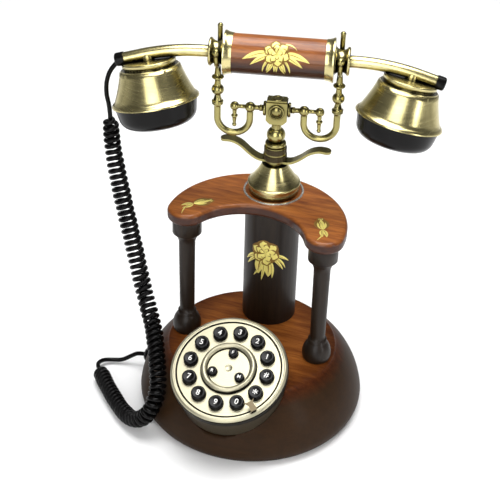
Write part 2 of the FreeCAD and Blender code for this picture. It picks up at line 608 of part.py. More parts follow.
def cross_rod():
    """A turned rod through the block, a ball over each fork arm, and a tip ball with a finial below."""
    tip = "hypot(1.6; 3.1)"
    half = [("1.9", "block_wide / 2 + 2.4"), ("2.5", "block_wide / 2 + 2.9"), ("2.5", "block_wide / 2 + 5"),
            ("1.9", "block_wide / 2 + 5.6"), ("1.9", "ball_side - 3.6"), ("1.6", "ball_side + 3.7", "4.1"),
            ("1.6", "tip_side - 3.1"), ("0", f"tip_side + {tip}", tip)]
    other = [("1.6", "-(tip_side - 3.1)", tip), ("1.6", "-(ball_side + 3.7)"),
             ("1.9", "-(ball_side - 3.6)", "4.1"), ("1.9", "-(block_wide / 2 + 5.6)"),
             ("2.5", "-(block_wide / 2 + 5)"), ("2.5", "-(block_wide / 2 + 2.9)"),
             ("1.9", "-(block_wide / 2 + 2.4)")]
    bar = turned("cross_rod", [("0", f"-(tip_side + {tip})"), *other, *half])
    put(bar, up="rod_height", axis=(0, 1, 0), angle="90")
    finials = []
    for side in (-1, 1):
        finial = turned(f"finial_{'left' if side < 0 else 'right'}", [
            ("0", "-17.2"), ("1.7", "-15.5", "1.7"), ("1.2", "-15.5 + sqrt(1.7 ^ 2 - 1.2 ^ 2)", "1.7"),
            ("1.8", "-9.2"), ("2.5", "-8.4"), ("2.5", "-7.5"), ("1.5", "-6.4"), ("1.8", "-3"), ("0", "-3")])
        finials.append(put(finial, east=f"{side} * tip_side", up="rod_height"))
    keep("cross_rod", cradle_place(fuse("cross_rod_fuse", [bar, *finials])))


def fork_arm(name, side):
    """A U-shaped tube from the cross rod's ball, a turned baluster and a fork for the handset's spool."""
    inner = value("ball_side")
    outer = value("fork_side")
    bend = value("bend_height")
    radius = (outer - inner) / 2
    path = [Part.LineSegment(Vector(side * inner, 0, value("rod_height - 3.2")),
                             Vector(side * inner, 0, bend)).toShape(),
            Part.Arc(Vector(side * inner, 0, bend), Vector(side * (inner + radius), 0, bend - radius),
                     Vector(side * outer, 0, bend)).toShape(),
            Part.LineSegment(Vector(side * outer, 0, bend), Vector(side * outer, 0, 239)).toShape()]
    tube = tube_along(path, value("arm_tube")).cut(
        Part.makeSphere(4.15, Vector(side * inner, 0, value("rod_height"))))
    baluster = turned(f"baluster_{name}", [
        ("0", "238"), ("2.8", "238"), ("4.3", "240.4", "-3"), ("4.3", "241.2"), ("4", "241.5"), ("4.4", "241.9"),
        ("4.4", "242.7"), ("3.2", "243.6"), ("2.9", "245"),
        ("2.5", "248.4", "-6"), ("2.7", "255.6", "4.1"), ("2.4", "260.6", "-12"), ("4.2", "261.6"),
        ("4.2", "263", "0.8"), ("2.6", "264.4"), ("2.1", "271"), ("0", "271")])
    put(baluster, east=f"{side} * fork_side")
    axis_height = value("hand_height")
    saddle = value("saddle_radius")
    tines = tube_along([
        Part.LineSegment(Vector(side * outer, -saddle, value("tine_front")),
                         Vector(side * outer, -saddle, axis_height)).toShape(),
        Part.Arc(Vector(side * outer, -saddle, axis_height), Vector(side * outer, 0, axis_height - saddle),
                 Vector(side * outer, saddle, axis_height)).toShape(),
        Part.LineSegment(Vector(side * outer, saddle, axis_height),
                         Vector(side * outer, saddle, value("tine_back"))).toShape()], value("tine_radius"))
    front = Part.makeSphere(3, Vector(side * outer, -saddle - 1.3, value("tine_front + 0.5")))
    back = Part.makeSphere(2.1, Vector(side * outer, saddle + 0.5, value("tine_back")))
    bent = feature(f"fork_bent_{name}", tube.fuse(tines).fuse(front).fuse(back))
    keep(f"fork_arm_{name}", cradle_place(fuse(f"fork_arm_{name}_fuse", [bent, baluster])))


# ---------------------------------------------------------------- handset
def hand_place(item):
    """Swing a piece about the handset's own axis, so that the cups lean forward, then lay it in the forks."""
    swung = group(item.Name + "_swung", [put(item, axis=(1, 0, 0), angle="-hand_swing")])
    return put(swung, north="column_back", up="hand_height", angle="cradle_turn")


def along_hand(item):
    """Lay a turned piece along the handset's axis."""
    return put(item, axis=(0, 1, 0), angle="90")


def handset_parts():
    barrel = turned("handset_barrel", [
        ("core_radius", "-barrel_half"), ("barrel_radius", "-barrel_half"), ("barrel_radius", "barrel_half"),
        ("core_radius", "barrel_half")])
    keep("handset_barrel", hand_place(group("handset_barrel_group", [along_hand(barrel)])))
    core = turned("core_tube", [
        ("core_radius - 1.4", "-core_half"), ("core_radius", "-core_half"), ("core_radius", "core_half"),
        ("core_radius - 1.4", "core_half")])
    keep("core_tube", hand_place(group("core_tube_group", [along_hand(core)])))
    keep("end_spools", hand_place(group("end_spools_group", [end_spool("left", -1), end_spool("right", 1)])))
    caps = []
    for name, side in (("left", -1), ("right", 1)):
        arm = arm_tube(name, side)
        caps.append(arm_cap(name, side))
        cup_parts(name, side, arm, caps[-1])
    keep("arm_caps", hand_place(group("arm_caps_group", caps)))


def end_spool(name, side):
    """Brass end of the barrel: a flared flange, an inner disc, a waist for the fork and an outer disc."""
    spool = turned(f"end_spool_{name}", [
        ("core_radius", "barrel_half"), ("barrel_radius + 0.4", "barrel_half"), ("barrel_radius + 0.7", "barrel_half + 2.2"),
        ("barrel_radius + 1.9", "barrel_half + 5.4", "-12"), ("barrel_radius + 1.7", "barrel_half + 6.4"),
        ("spool_rim - 1.8", "barrel_half + 6.6"), ("spool_rim", "barrel_half + 7.2"),
        ("spool_rim", "fork_side - 4.1"), ("spool_neck", "fork_side + 0.4", "-5.6"),
        ("spool_rim", "fork_side + 4.9", "-5.6"), ("spool_rim", "spool_end - 0.6"),
        ("spool_rim - 0.8", "spool_end"), ("arm_radius", "spool_end"), ("arm_radius", "core_half"),
        ("core_radius", "core_half")])
    return put(spool, axis=(0, 1, 0), angle=f"{side} * 90")


def arm_path(side, end):
    """Centre line of an arm: straight out of the spool, one gentle bend down, then straight."""
    start = value("core_half")
    bend_start = value("arm_straight")
    radius = value("arm_bend")
    angle = math.radians(value("arm_angle"))

    def spot(turn):
        return Vector(side * (bend_start + radius * math.sin(turn)), 0, -radius * (1 - math.cos(turn)))

    last = spot(angle)
    reach = (end - abs(last.x)) / math.cos(angle)
    tip = last + Vector(side * math.cos(angle), 0, -math.sin(angle)) * reach
    return [Part.LineSegment(Vector(side * start, 0, 0), spot(0)).toShape(),
            Part.Arc(spot(0), spot(angle / 2), last).toShape(), Part.LineSegment(last, tip).toShape()], tip


def arm_tube(name, side):
    edges = arm_path(side, value("arm_end"))[0]
    radius = value("arm_radius")
    arm = feature(f"arm_{name}_tube", tube_along(edges, radius, radius - value("arm_wall")))
    keep(f"handset_arm_{name}", hand_place(group(f"handset_arm_{name}_group", [arm])))
    return feature(f"arm_{name}_solid", tube_along(edges, radius))


def arm_cap(name, side):
    """Black plug over the end of an arm; the left one has the hole that the cord leaves by."""
    cap = turned(f"arm_cap_{name}", [
        ("0", "0"), ("cap_radius", "0"), ("cap_radius", "cap_long - 1.6"),
        ("cap_radius - 1.4", "cap_long", "1.6"), ("0", "cap_long")])
    tip = arm_path(side, value("arm_end"))[1]
    return put(cap, east=str(tip.x), up=str(tip.z), axis=(0, 1, 0), angle=f"{side} * (90 + arm_angle)")


def cup_parts(name, side, arm, plug):
    """A brass cup under an arm, tilted inward, with its black cap and the capsule inside."""
    floor = "-cup_tall"
    cup = turned(f"cup_{name}", [
        ("0", "9"), ("5", "9"), ("5", "4.8"), ("disc_radius - 0.8", "4.8"), ("disc_radius", "4", "0.8"),
        ("disc_radius", "1.6"), ("disc_radius - 1.2", "1.2"), ("disc_radius - 1.2", "-0.2"),
        ("cup_top - 1.2", "-0.2"), ("cup_top", "-1.4", "1.2"), ("cup_radius - 2.2", f"{floor} + 2.4", "130"),
        ("cup_radius - 0.3", f"{floor} + 0.9", "-4"), ("cup_radius", f"{floor} + 0.4"),
        ("cup_radius", f"{floor} - 0.3"), ("cup_radius - 2.6", f"{floor} - 0.3"),
        ("cup_radius - 4.6", f"{floor} + 4.2"), ("cup_top - 2.2", "-2.4"), ("0", "-2.4")])
    cup_place(cup, side)
    keep(f"cup_{name}", hand_place(cut(f"cup_{name}_cut", cup, arm, plug)))
    label = "earpiece_cap" if side < 0 else "mouthpiece_cap"
    cap = turned(label, [
        ("0", f"{floor} - mouth_tall + 0.8"), ("12", f"{floor} - mouth_tall"), ("20", f"{floor} - mouth_tall"),
        ("mouth_radius - 1.8", f"{floor} - mouth_tall + 8", "9.5"), ("mouth_radius", f"{floor} - 0.6"),
        ("mouth_radius - 3", f"{floor} - 0.6"), ("mouth_radius - 4.8", f"{floor} - mouth_tall + 9"),
        ("18", f"{floor} - mouth_tall + 2.6"), ("0", f"{floor} - mouth_tall + 3")])
    holes = [rod(f"{label}_hole_{number}", "1.2", "8", east=f"{circle} * cos({angle})",
                 north=f"{circle} * sin({angle})", up=f"{floor} - mouth_tall - 2")
             for number, (circle, angle) in enumerate([(0, 0)] + [(7, angle) for angle in around(6)])]
    keep(label, hand_place(group(f"{label}_group", [cup_place(cut(f"{label}_cut", cap, *holes), side)])))
    inside = "receiver_capsule" if side < 0 else "microphone_capsule"
    capsule = turned(inside, [
        ("0", f"{floor} - 8"), ("capsule_radius", f"{floor} - 8"), ("capsule_radius", f"{floor} - 2"),
        ("capsule_radius - 3", f"{floor} + 1"), ("0", f"{floor} + 1")])
    keep(inside, hand_place(group(f"{inside}_group", [cup_place(capsule, side)])))


def cup_place(item, side):
    return put(item, east=f"{side} * cup_side", up="-cup_drop", axis=(0, 1, 0), angle=f"{side} * cup_tilt")


# ---------------------------------------------------------------- cord
# The handset cord hangs from the left arm cap, rests against the base's left shoulder, curls on the
# table and comes back to the bushing in the base's side.
UPPER_LEAD = [(-116.6, 16.6, 269.4), (-122.4, 16, 262.8), (-126.2, 16, 252.5), (-127, 16.2, 241.5),
              (-125, 16.8, 231), (-124.8, 17, 222)]
COIL = [(-124.8, 17, 222), (-124.3, 17.5, 199.5), (-119.9, 13.6, 181), (-115, 10.2, 163), (-109, 6.8, 141),
        (-100.6, 1.6, 114), (-92.2, -6, 91), (-82.6, -16.5, 75), (-72.6, -29.5, 65.5), (-64, -46, 57.5),
        (-57.6, -59, 50), (-53.2, -69.5, 41), (-54, -77.8, 30), (-60.6, -80.8, 18.2), (-71.6, -77.4, 9.8),
        (-84.6, -68, 7.05), (-98.8, -54.2, 7.05), (-111.6, -40.6, 7.05), (-123.8, -26, 7.05)]
LOWER_LEAD = [(-123.8, -26, 7.05), (-128, -20.97, 7.05), (-128.7, -14.6, 5.8), (-125.8, -8.8, 4), (-120, -5.6, 3),
              (-112.8, -4, 3.6), (-106, -0.6, 7.4), (-99.6, 2, 11), (-83.6, 2, 11)]


def cord_parts():
    routes = (("cord_upper_lead", UPPER_LEAD, "cord_thick"), ("cord_coil", COIL, "coil_thick"),
              ("cord_lower_lead", LOWER_LEAD, "cord_thick"))
    for label, route, thick in routes:
        edges, radii = rounded_path([Vector(*spot) for spot in route])
        radius = value(thick) / 2
        shape = tube_along(edges, radius)
        length = sum(edge.Length for edge in edges)
        print(label, "length", round(length, 1), "volume ratio", round(shape.Volume / (math.pi * radius ** 2 * length), 4),
              "radii", [round(size, 1) for size in radii], "low", round(shape.optimalBoundingBox().ZMin, 2))
        keep(label, feature(label + "_tube", shape))


# ---------------------------------------------------------------- build and export
def check(items):
    """Stop on any object that failed, or on a piece whose shape is missing or not valid."""
    for item in doc.Objects:
        if "Invalid" in item.State or "Error" in item.State:
            sys.exit(f"{item.Name} failed: {item.State}")
    for label, item in items.items():
        if item.Shape.isNull() or not item.Shape.isValid() or not item.Shape.Solids:
            sys.exit(f"{label} has no valid solid")


base_parts()
frame_parts()
pedestal_parts()
dial_parts()
cradle_parts()
handset_parts()
cord_parts()
doc.recompute()
check(subparts)
os.makedirs("parts", exist_ok=True)
for label, item in subparts.items():
    item.Shape.exportStep(f"parts/{label}.step")
print(len(subparts), "pieces")
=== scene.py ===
import math

import bmesh
import bpy
from mathutils import Matrix, Vector


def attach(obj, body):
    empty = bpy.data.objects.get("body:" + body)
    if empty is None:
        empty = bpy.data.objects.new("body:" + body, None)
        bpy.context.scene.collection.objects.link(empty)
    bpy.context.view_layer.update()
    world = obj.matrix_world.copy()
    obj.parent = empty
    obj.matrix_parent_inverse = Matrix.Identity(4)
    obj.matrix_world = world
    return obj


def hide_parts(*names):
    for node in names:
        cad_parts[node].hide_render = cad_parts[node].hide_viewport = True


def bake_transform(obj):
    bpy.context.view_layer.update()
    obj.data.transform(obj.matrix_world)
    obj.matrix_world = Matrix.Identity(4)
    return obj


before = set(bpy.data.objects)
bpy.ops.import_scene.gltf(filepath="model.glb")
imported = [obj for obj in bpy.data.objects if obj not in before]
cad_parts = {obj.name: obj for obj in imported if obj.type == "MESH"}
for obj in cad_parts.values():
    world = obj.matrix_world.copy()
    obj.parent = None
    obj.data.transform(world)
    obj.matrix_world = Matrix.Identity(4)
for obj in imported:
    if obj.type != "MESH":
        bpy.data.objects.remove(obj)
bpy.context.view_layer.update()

bl_info = {
    "name": "Antique Telephone",
    "version": (1, 0, 0),
    "blender": (4, 5, 0),
    "location": "3D View > Sidebar > Telephone",
    "description": "Builds an antique-style push-button telephone on its packed frame",
    "category": "Object",
}

MM = 0.001

# The four frames that the telephone's parts are built in. Each maps local metres to the row frame.
TURN = Matrix.Rotation(math.radians(11.8), 4, "Z")
COLUMN = Matrix.Translation((0, 0.043, 0))
CRADLE = COLUMN @ TURN
SWING = Matrix.Rotation(math.radians(-12), 4, "X")
HAND = CRADLE @ Matrix.Translation((0, 0, 0.28225)) @ SWING @ Matrix.Rotation(math.radians(90), 4, "Y")
DIAL = Matrix.Translation((0, -0.0594, 0.071)) @ Matrix.Rotation(math.radians(24.1), 4, "X")

# Route of the handset cord in metres, the same points as the CAD tubes: a smooth lead from the
# arm's cap, the curly part, and a smooth lead that goes through the bushing into the base.
UPPER_LEAD = [(-0.1166, 0.0166, 0.2694), (-0.1224, 0.016, 0.2628), (-0.1262, 0.016, 0.2525),
              (-0.127, 0.0162, 0.2415), (-0.125, 0.0168, 0.231)]
COIL = [(-0.1248, 0.017, 0.222), (-0.1243, 0.0175, 0.1995), (-0.1199, 0.0136, 0.181),
        (-0.115, 0.0102, 0.163), (-0.109, 0.0068, 0.141), (-0.1006, 0.0016, 0.114),
        (-0.0922, -0.006, 0.091), (-0.0826, -0.0165, 0.075), (-0.0726, -0.0295, 0.0655),
        (-0.064, -0.046, 0.0575), (-0.0576, -0.059, 0.05), (-0.0532, -0.0695, 0.041),
        (-0.054, -0.0778, 0.03), (-0.0606, -0.0808, 0.0182), (-0.0716, -0.0774, 0.0098),
        (-0.0846, -0.068, 0.00705), (-0.0988, -0.0542, 0.00705), (-0.1116, -0.0406, 0.00705),
        (-0.1238, -0.026, 0.00705)]
LOWER_LEAD = [(-0.128, -0.02097, 0.00705), (-0.1287, -0.0146, 0.0058), (-0.1258, -0.0088, 0.004),
              (-0.12, -0.0056, 0.003), (-0.1128, -0.004, 0.0036), (-0.106, -0.0006, 0.0074),
              (-0.0996, 0.002, 0.011), (-0.0836, 0.002, 0.011)]

# Points along one turn of the curly part, and the length in which it grows to its full width.
STEPS_IN_TURN = 20
COIL_STARTS_IN = 0.006

# Each key's name in the frame, its printed figure and its angle on the dial in degrees.
KEYS = [(name, figure, 30 * place) for place, (name, figure) in enumerate(
    [("hash", "#")] + [(digit, digit) for digit in "1234567890"] + [("star", "*")])]
HUB_KEYS = [("flash", "F", 90), ("redial", "R", 210), ("mute", "M", 330)]
KEY_CIRCLE = 30.5 * MM
HUB_CIRCLE = 12.4 * MM

# Radius of the hollow in a key's top, and how deep its middle lies
KEY_DISH = 13.9 * MM
HUB_DISH = 5.5 * MM
DISH_DEPTH = 0.5 * MM

# The thumb nut's two bands, in the cradle's frame: name, height of the middle, radii at the foot and at the
# top, and radius of the circle that the ribs stand on
NUT_BANDS = [("lower", 199.9 * MM, 8.84 * MM, 8.57 * MM, 8.62 * MM),
             ("upper", 205.5 * MM, 8.49 * MM, 8.22 * MM, 8.27 * MM)]
NUT_BAND_TALL = 4.4 * MM
NUT_RIB_RADIUS = 0.5 * MM
GRIP_RADIUS = 14.6 * MM
COLUMN_RADIUS = 21.7 * MM
TOP_PLATE_HEIGHT = 169 * MM

# Name, place, width and height in metres and power in watts of each light: a softbox overhead, a panel in
# front and a strip to the right. The wash lights only the far floor.
LIGHTS = [("overhead", (0.0, 0.08, 1.4), (0.9, 0.8), 17), ("wash", (0.2, 1.5, 3.0), (2.5, 1.5), 45),
          ("front", (0.1, -1.2, 0.8), (0.85, 1.3), 13), ("right_strip", (1.15, -0.45, 0.45), (0.25, 0.8), 4)]
AIM = Vector((0, 0, 0.15))
# The camera's angle round the telephone, its height and its roll in degrees, and where it stands
CAMERA_ANGLES = (17.484, 33.717, 1.825)
CAMERA_PLACE = (0.23424, -0.75698, 0.66812)


def linear(text):
    """An sRGB hex colour as linear red, green and blue."""
    parts = [int(text[i:i + 2], 16) / 255 for i in (1, 3, 5)]
    return tuple(p / 12.92 if p <= 0.04045 else ((p + 0.055) / 1.055) ** 2.4 for p in parts)


# ---------------------------------------------------------------- settings
def length(name, default, description):
    return bpy.props.FloatProperty(name=name, default=default, description=description, unit="LENGTH",
                                   precision=5)


def colour(name, default, description):
    return bpy.props.FloatVectorProperty(name=name, default=linear(default), description=description,
                                         subtype="COLOR", size=3, min=0, max=1)


class TelephoneSizes(bpy.types.PropertyGroup):
    """Sizes that can be changed without leaving the frame."""
    cord_thickness: length("Cord thickness", 0.0036, "Diameter of the cord's own sleeve")
    coil_width: length("Coil width", 0.0128, "Outside diameter of the curly part at its top")
    coil_slack: length("Coil slack width", 0.0151, "Outside diameter where the curly part sags")
    floor_width: length("Floor coil width", 0.0138, "Outside diameter where the curly part lies")
    coil_pitch: length("Coil pitch", 0.005, "Distance between turns where the cord hangs")
    floor_pitch: length("Floor pitch", 0.0041, "Distance between turns where the cord lies")
    figure_size: length("Figure size", 0.0062, "Height of the figures on the number keys")
    decal_relief: length("Decal relief", 0.00022, "How far the painted flowers stand above the wood")
    rib_count: bpy.props.IntProperty(name="Rib count", default=34, min=8, max=80,
                                     description="Ribs round each band of the cradle's thumb nut")


class TelephoneColours(bpy.types.PropertyGroup):
    """Colours of the finishes."""
    walnut: colour("Walnut", "#170f0a", "Stained wood of the column and posts")
    walnut_light: colour("Walnut light", "#251a0f", "Lighter grain of the stained wood")
    mahogany: colour("Mahogany", "#ad682c", "Wood of the deck, top plate and grip")
    mahogany_dark: colour("Mahogany dark", "#703813", "Darker grain of the red wood")
    brass: colour("Brass", "#d6ca92", "Antique brass where it is rubbed bright")
    aged_brass: colour("Aged brass", "#a39a64", "The cradle's duller brass")
    # also the colour of the painted shade in the dial's corners
    patina_and_shade: colour("Patina", "#3a341a", "Dark patina left in the brass's recesses")
    champagne: colour("Champagne", "#b5b098", "Lacquered metal of the dial")
    bronze: colour("Bronze", "#4b4335", "Painted wall of the dial housing")
    black: colour("Black", "#090808", "Moulded black plastic")
    figures: colour("Figures", "#f4f3ee", "Printed figures on the keys")
    gold: colour("Gold", "#efe07c", "Pale gold paint of the flowers")
    gold_shadow: colour("Gold shadow", "#7d5a18", "Brown gold that outlines the petals")


def sizes():
    return bpy.context.scene.telephone_sizes


def shade(name):
    """One of the finish colours, with alpha."""
    return (*getattr(bpy.context.scene.telephone_colours, name), 1)


# ---------------------------------------------------------------- materials
# What a Mix node is set to for colours. Its sockets are then 0 for the factor, 6 and 7, and output 2
BLEND = {"data_type": "RGBA"}
MULTIPLY = {"data_type": "RGBA", "blend_type": "MULTIPLY"}
WHITE = (1, 1, 1, 1)


def add(tree, kind, inputs=None, stops=(), **settings):
    """Add one node: settings are its properties, inputs are values or sockets to link from."""
    item = tree.nodes.new(kind)
    for name, setting in settings.items():
        setattr(item, name, setting)
    for name, source in (inputs or {}).items():
        if isinstance(source, bpy.types.NodeSocket):
            tree.links.new(source, item.inputs[name])
        else:
            item.inputs[name].default_value = source
    for number, (place, tint) in enumerate(stops):
        ramp = item.color_ramp.elements
        stop = ramp[number] if number < len(ramp) else ramp.new(place)
        stop.position = place
        stop.color = tint
    return item


def new_material(name, **shader):
    """A material with one Principled shader. Returns the material, its tree and the shader."""
    material = bpy.data.materials.new(name)
    material.use_nodes = True
    tree = material.node_tree
    tree.nodes.clear()
    principled = add(tree, "ShaderNodeBsdfPrincipled",
                     {key.replace("_", " "): value for key, value in shader.items()})
    add(tree, "ShaderNodeOutputMaterial", {"Surface": principled.outputs[0]})
    material.diffuse_color = principled.inputs["Base Color"].default_value
    return material, tree, principled


def feed(principled, **sources):
    """Link sources to a shader's sockets."""
    for name, source in sources.items():
        principled.id_data.links.new(source, principled.inputs[name.replace("_", " ")])


def spot(tree, scale=(1, 1, 1), place=None):
    """Object coordinates, moved into a part's own frame and stretched."""
    source = add(tree, "ShaderNodeTexCoord").outputs["Object"]
    if place is not None:
        away = place.inverted()
        turned = add(tree, "ShaderNodeMapping", {"Vector": source, "Rotation": away.to_euler(),
                                                 "Location": away.translation})
        source = turned.outputs[0]
    return add(tree, "ShaderNodeMapping", {"Vector": source, "Scale": scale}).outputs[0]


def fade(tree, full, none, axis=2, place=None):
    """1 where a coordinate in metres is full or past it, 0 where it is none or past that."""
    along = add(tree, "ShaderNodeSeparateXYZ", {0: spot(tree, place=place)}).outputs[axis]
    return add(tree, "ShaderNodeMapRange", {"Value": along, "From Min": none, "From Max": full}).outputs[0]


def distance_out(tree, place=None):
    """Distance in metres from the Z axis of a part's own frame."""
    parts = add(tree, "ShaderNodeSeparateXYZ", {0: spot(tree, place=place)}).outputs
    flat = add(tree, "ShaderNodeCombineXYZ", {0: parts[0], 1: parts[1]}).outputs[0]
    return add(tree, "ShaderNodeVectorMath", {0: flat}, operation="LENGTH").outputs["Value"]


def wood(name, dark, light, grain, place=None, coat=0.3, gloss=0.2):
    """Stained and varnished hardwood, and its grain's colour. Its pores and figure are 1 to 3 mm wide."""
    material, tree, principled = new_material(name, Roughness=0.5, Specular_IOR_Level=gloss, Coat_Weight=coat,
                                              Coat_Roughness=0.14, IOR=1.5)
    fine = [size * 3.4 for size in grain]
    bands = add(tree, "ShaderNodeTexNoise", {"Vector": spot(tree, grain, place), "Scale": 1.0, "Detail": 6.0,
                                             "Roughness": 0.62, "Distortion": 0.35}).outputs["Fac"]
    pores = add(tree, "ShaderNodeTexNoise", {"Vector": spot(tree, fine, place), "Scale": 1.0,
                                             "Detail": 3.0}).outputs["Fac"]
    clouds = add(tree, "ShaderNodeTexNoise", {"Vector": spot(tree, (22, 22, 22), place),
                                              "Scale": 1.0}).outputs["Fac"]
    figure = add(tree, "ShaderNodeValToRGB", {"Fac": bands}, [(0.3, shade(dark)), (0.7, shade(light))])
    tint = figure.outputs[0]
    for amount, source, stops in ((0.35, pores, [(0.36, (0.35, 0.3, 0.26, 1)), (0.52, WHITE)]),
                                  (0.5, clouds, [(0.3, (0.62, 0.58, 0.55, 1)), (0.66, WHITE)])):
        stain = add(tree, "ShaderNodeValToRGB", {"Fac": source}, stops).outputs[0]
        tint = add(tree, "ShaderNodeMix", {0: amount, 6: tint, 7: stain}, **MULTIPLY).outputs[2]
    bump = add(tree, "ShaderNodeBump", {"Height": pores, "Strength": 0.1, "Distance": 0.0002})
    feed(principled, Normal=bump.outputs[0])
    return material, tree, principled, tint


def stained_walnut(name):
    # dark walnut, turned, stained and varnished: nearly black-brown with a low satin gloss
    material, tree, principled, tint = wood(name, "walnut", "walnut_light", (180, 180, 16), coat=0.12)
    feed(principled, Base_Color=tint)
    return material


def sunburst_mahogany(name):
    # the base's wood, sprayed in a sunburst: red mahogany on the deck fading to walnut down the skirt
    material, tree, principled, tint = wood(name, "mahogany_dark", "mahogany", (26, 210, 210), coat=0.02,
                                            gloss=0.08)
    rim = add(tree, "ShaderNodeMapRange", {"Value": distance_out(tree), "From Min": 0.042, "From Max": 0.069})
    deck = add(tree, "ShaderNodeMix", {0: rim.outputs[0], 6: tint, 7: (0.2, 0.14, 0.1, 1)}, **MULTIPLY)
    skirt = add(tree, "ShaderNodeMix", {0: 0.03, 6: shade("walnut_light"), 7: tint}, **BLEND)
    sides = fade(tree, 0.044, 0.0532)
    both = add(tree, "ShaderNodeMix", {0: sides, 6: deck.outputs[2], 7: skirt.outputs[2]}, **BLEND)
    feed(principled, Base_Color=both.outputs[2])
    return material


def varnished_mahogany(name):
    # red mahogany, planed and varnished: orange-brown ribbons of grain, sprayed darker round its edge
    material, tree, principled, tint = wood(name, "mahogany_dark", "mahogany", (24, 190, 190))
    edge = fade(tree, 0.1662, 0.169)
    darkened_tint = add(tree, "ShaderNodeMix", {0: edge, 6: tint, 7: (0.16, 0.11, 0.08, 1)}, **MULTIPLY)
    feed(principled, Base_Color=darkened_tint.outputs[2])
    return material


def turned_mahogany(name):
    # the same wood turned along the handset, with the grain along its length, and painted shade that darkens
    # its underside
    material, tree, principled, tint = wood(name, "mahogany_dark", "mahogany", (210, 210, 24), HAND, coat=0.5)
    # painted shade: the colour is darkened towards the grip's underside
    painted_under_shade = fade(tree, 0.006, -0.005, 0, HAND)
    darkened_tint = add(tree, "ShaderNodeMix", {0: painted_under_shade, 6: tint, 7: (0.1, 0.07, 0.05, 1)}, **MULTIPLY)
    feed(principled, Base_Color=darkened_tint.outputs[2])
    return material


def brass(name, place, grain, brushed, tint):
    """Antique brass, lacquered over a dark patina. Brush lines are drawn about 1 mm apart, so they show."""
    material, tree, principled = new_material(name, Metallic=1.0, Roughness=0.25)
    lines = add(tree, "ShaderNodeTexNoise", {"Vector": spot(tree, grain, place), "Scale": 1.0,
                                             "Detail": 4.0}).outputs["Fac"]
    cloud = add(tree, "ShaderNodeTexNoise", {"Vector": spot(tree, (55, 55, 55), place), "Scale": 1.0,
                                             "Detail": 3.0}).outputs["Fac"]
    corner = add(tree, "ShaderNodeAmbientOcclusion", {"Distance": 0.005}, samples=6).outputs["AO"]
    bright = add(tree, "ShaderNodeValToRGB", {"Fac": lines}, [(0.3, (0.6, 0.56, 0.44, 1)), (0.62, WHITE)])
    rubbed_and_lit = add(tree, "ShaderNodeMapRange", {"Value": corner, "From Min": 0.45, "From Max": 0.95})
    spots = add(tree, "ShaderNodeMapRange", {"Value": cloud, "From Min": 0.32, "From Max": 0.6,
                                             "To Min": 0.72, "To Max": 1.0})
    amount = add(tree, "ShaderNodeMath", {0: rubbed_and_lit.outputs[0], 1: spots.outputs[0]}, operation="MULTIPLY")
    metal = add(tree, "ShaderNodeMix", {0: brushed, 6: shade(tint), 7: bright.outputs[0]}, **MULTIPLY)
    aged = add(tree, "ShaderNodeMix", {0: amount.outputs[0], 6: shade("patina_and_shade"), 7: metal.outputs[2]},
               **BLEND)
    rough = add(tree, "ShaderNodeMapRange", {"Value": lines, "To Min": 0.2 - 0.05 * brushed,
                                             "To Max": 0.24 + 0.3 * brushed})
    bump = add(tree, "ShaderNodeBump", {"Height": lines, "Strength": 0.02 + 0.12 * brushed,
                                        "Distance": 0.0002})
    feed(principled, Base_Color=aged.outputs[2], Roughness=rough.outputs[0], Normal=bump.outputs[0])
    return material


# Radius and half width in metres of the painted shadow lines in the dial, dark rings painted where shade
# falls in its gaps: inside and outside the hub's ring, and inside and on the bezel
DIAL_SHADOW_LINES = [(0.0164, 0.00035), (0.0215, 0.0004), (0.0403, 0.0007), (0.0452, 0.0003)]


def dial_lacquer(name):
    # pressed steel with a champagne lacquer, spun so that fine rings catch the light. Painted shade darkens
    # it in corners and round the keys, and painted shadow lines run round the hub and inside and on the bezel
    material, tree, principled = new_material(name, Metallic=0.85, Roughness=0.42, Specular_IOR_Level=0.2)
    reach = distance_out(tree, DIAL)
    rings = add(tree, "ShaderNodeTexNoise", {"W": reach, "Scale": 1500.0, "Detail": 2.0},
                noise_dimensions="1D").outputs["Fac"]
    bright = add(tree, "ShaderNodeValToRGB", {"Fac": rings}, [(0.3, (0.86, 0.85, 0.8, 1)), (0.66, WHITE)])
    # painted shade: ambient occlusion darkens the lacquer towards the patina colour in its corners and round
    # the keys
    corner = add(tree, "ShaderNodeAmbientOcclusion", {"Distance": 0.0015}, samples=6).outputs["AO"]
    rubbed_and_lit = add(tree, "ShaderNodeMapRange", {"Value": corner, "From Min": 0.3, "From Max": 0.8}).outputs[0]
    spun = add(tree, "ShaderNodeMix", {0: 0.6, 6: shade("champagne"), 7: bright.outputs[0]}, **MULTIPLY)
    tint = add(tree, "ShaderNodeMix", {0: rubbed_and_lit, 6: shade("patina_and_shade"), 7: spun.outputs[2]}, **BLEND).outputs[2]
    # painted shadow: a dark ring is painted at each of these radii
    for middle, half in DIAL_SHADOW_LINES:
        shadow_line = add(tree, "ShaderNodeMath", {0: reach, 1: middle, 2: half}, operation="COMPARE").outputs[0]
        tint = add(tree, "ShaderNodeMix", {0: shadow_line, 6: tint, 7: (0.012, 0.01, 0.007, 1)}, **BLEND).outputs[2]
    bump = add(tree, "ShaderNodeBump", {"Height": rings, "Strength": 0.1, "Distance": 0.0001})
    feed(principled, Base_Color=tint, Normal=bump.outputs[0])
    return material


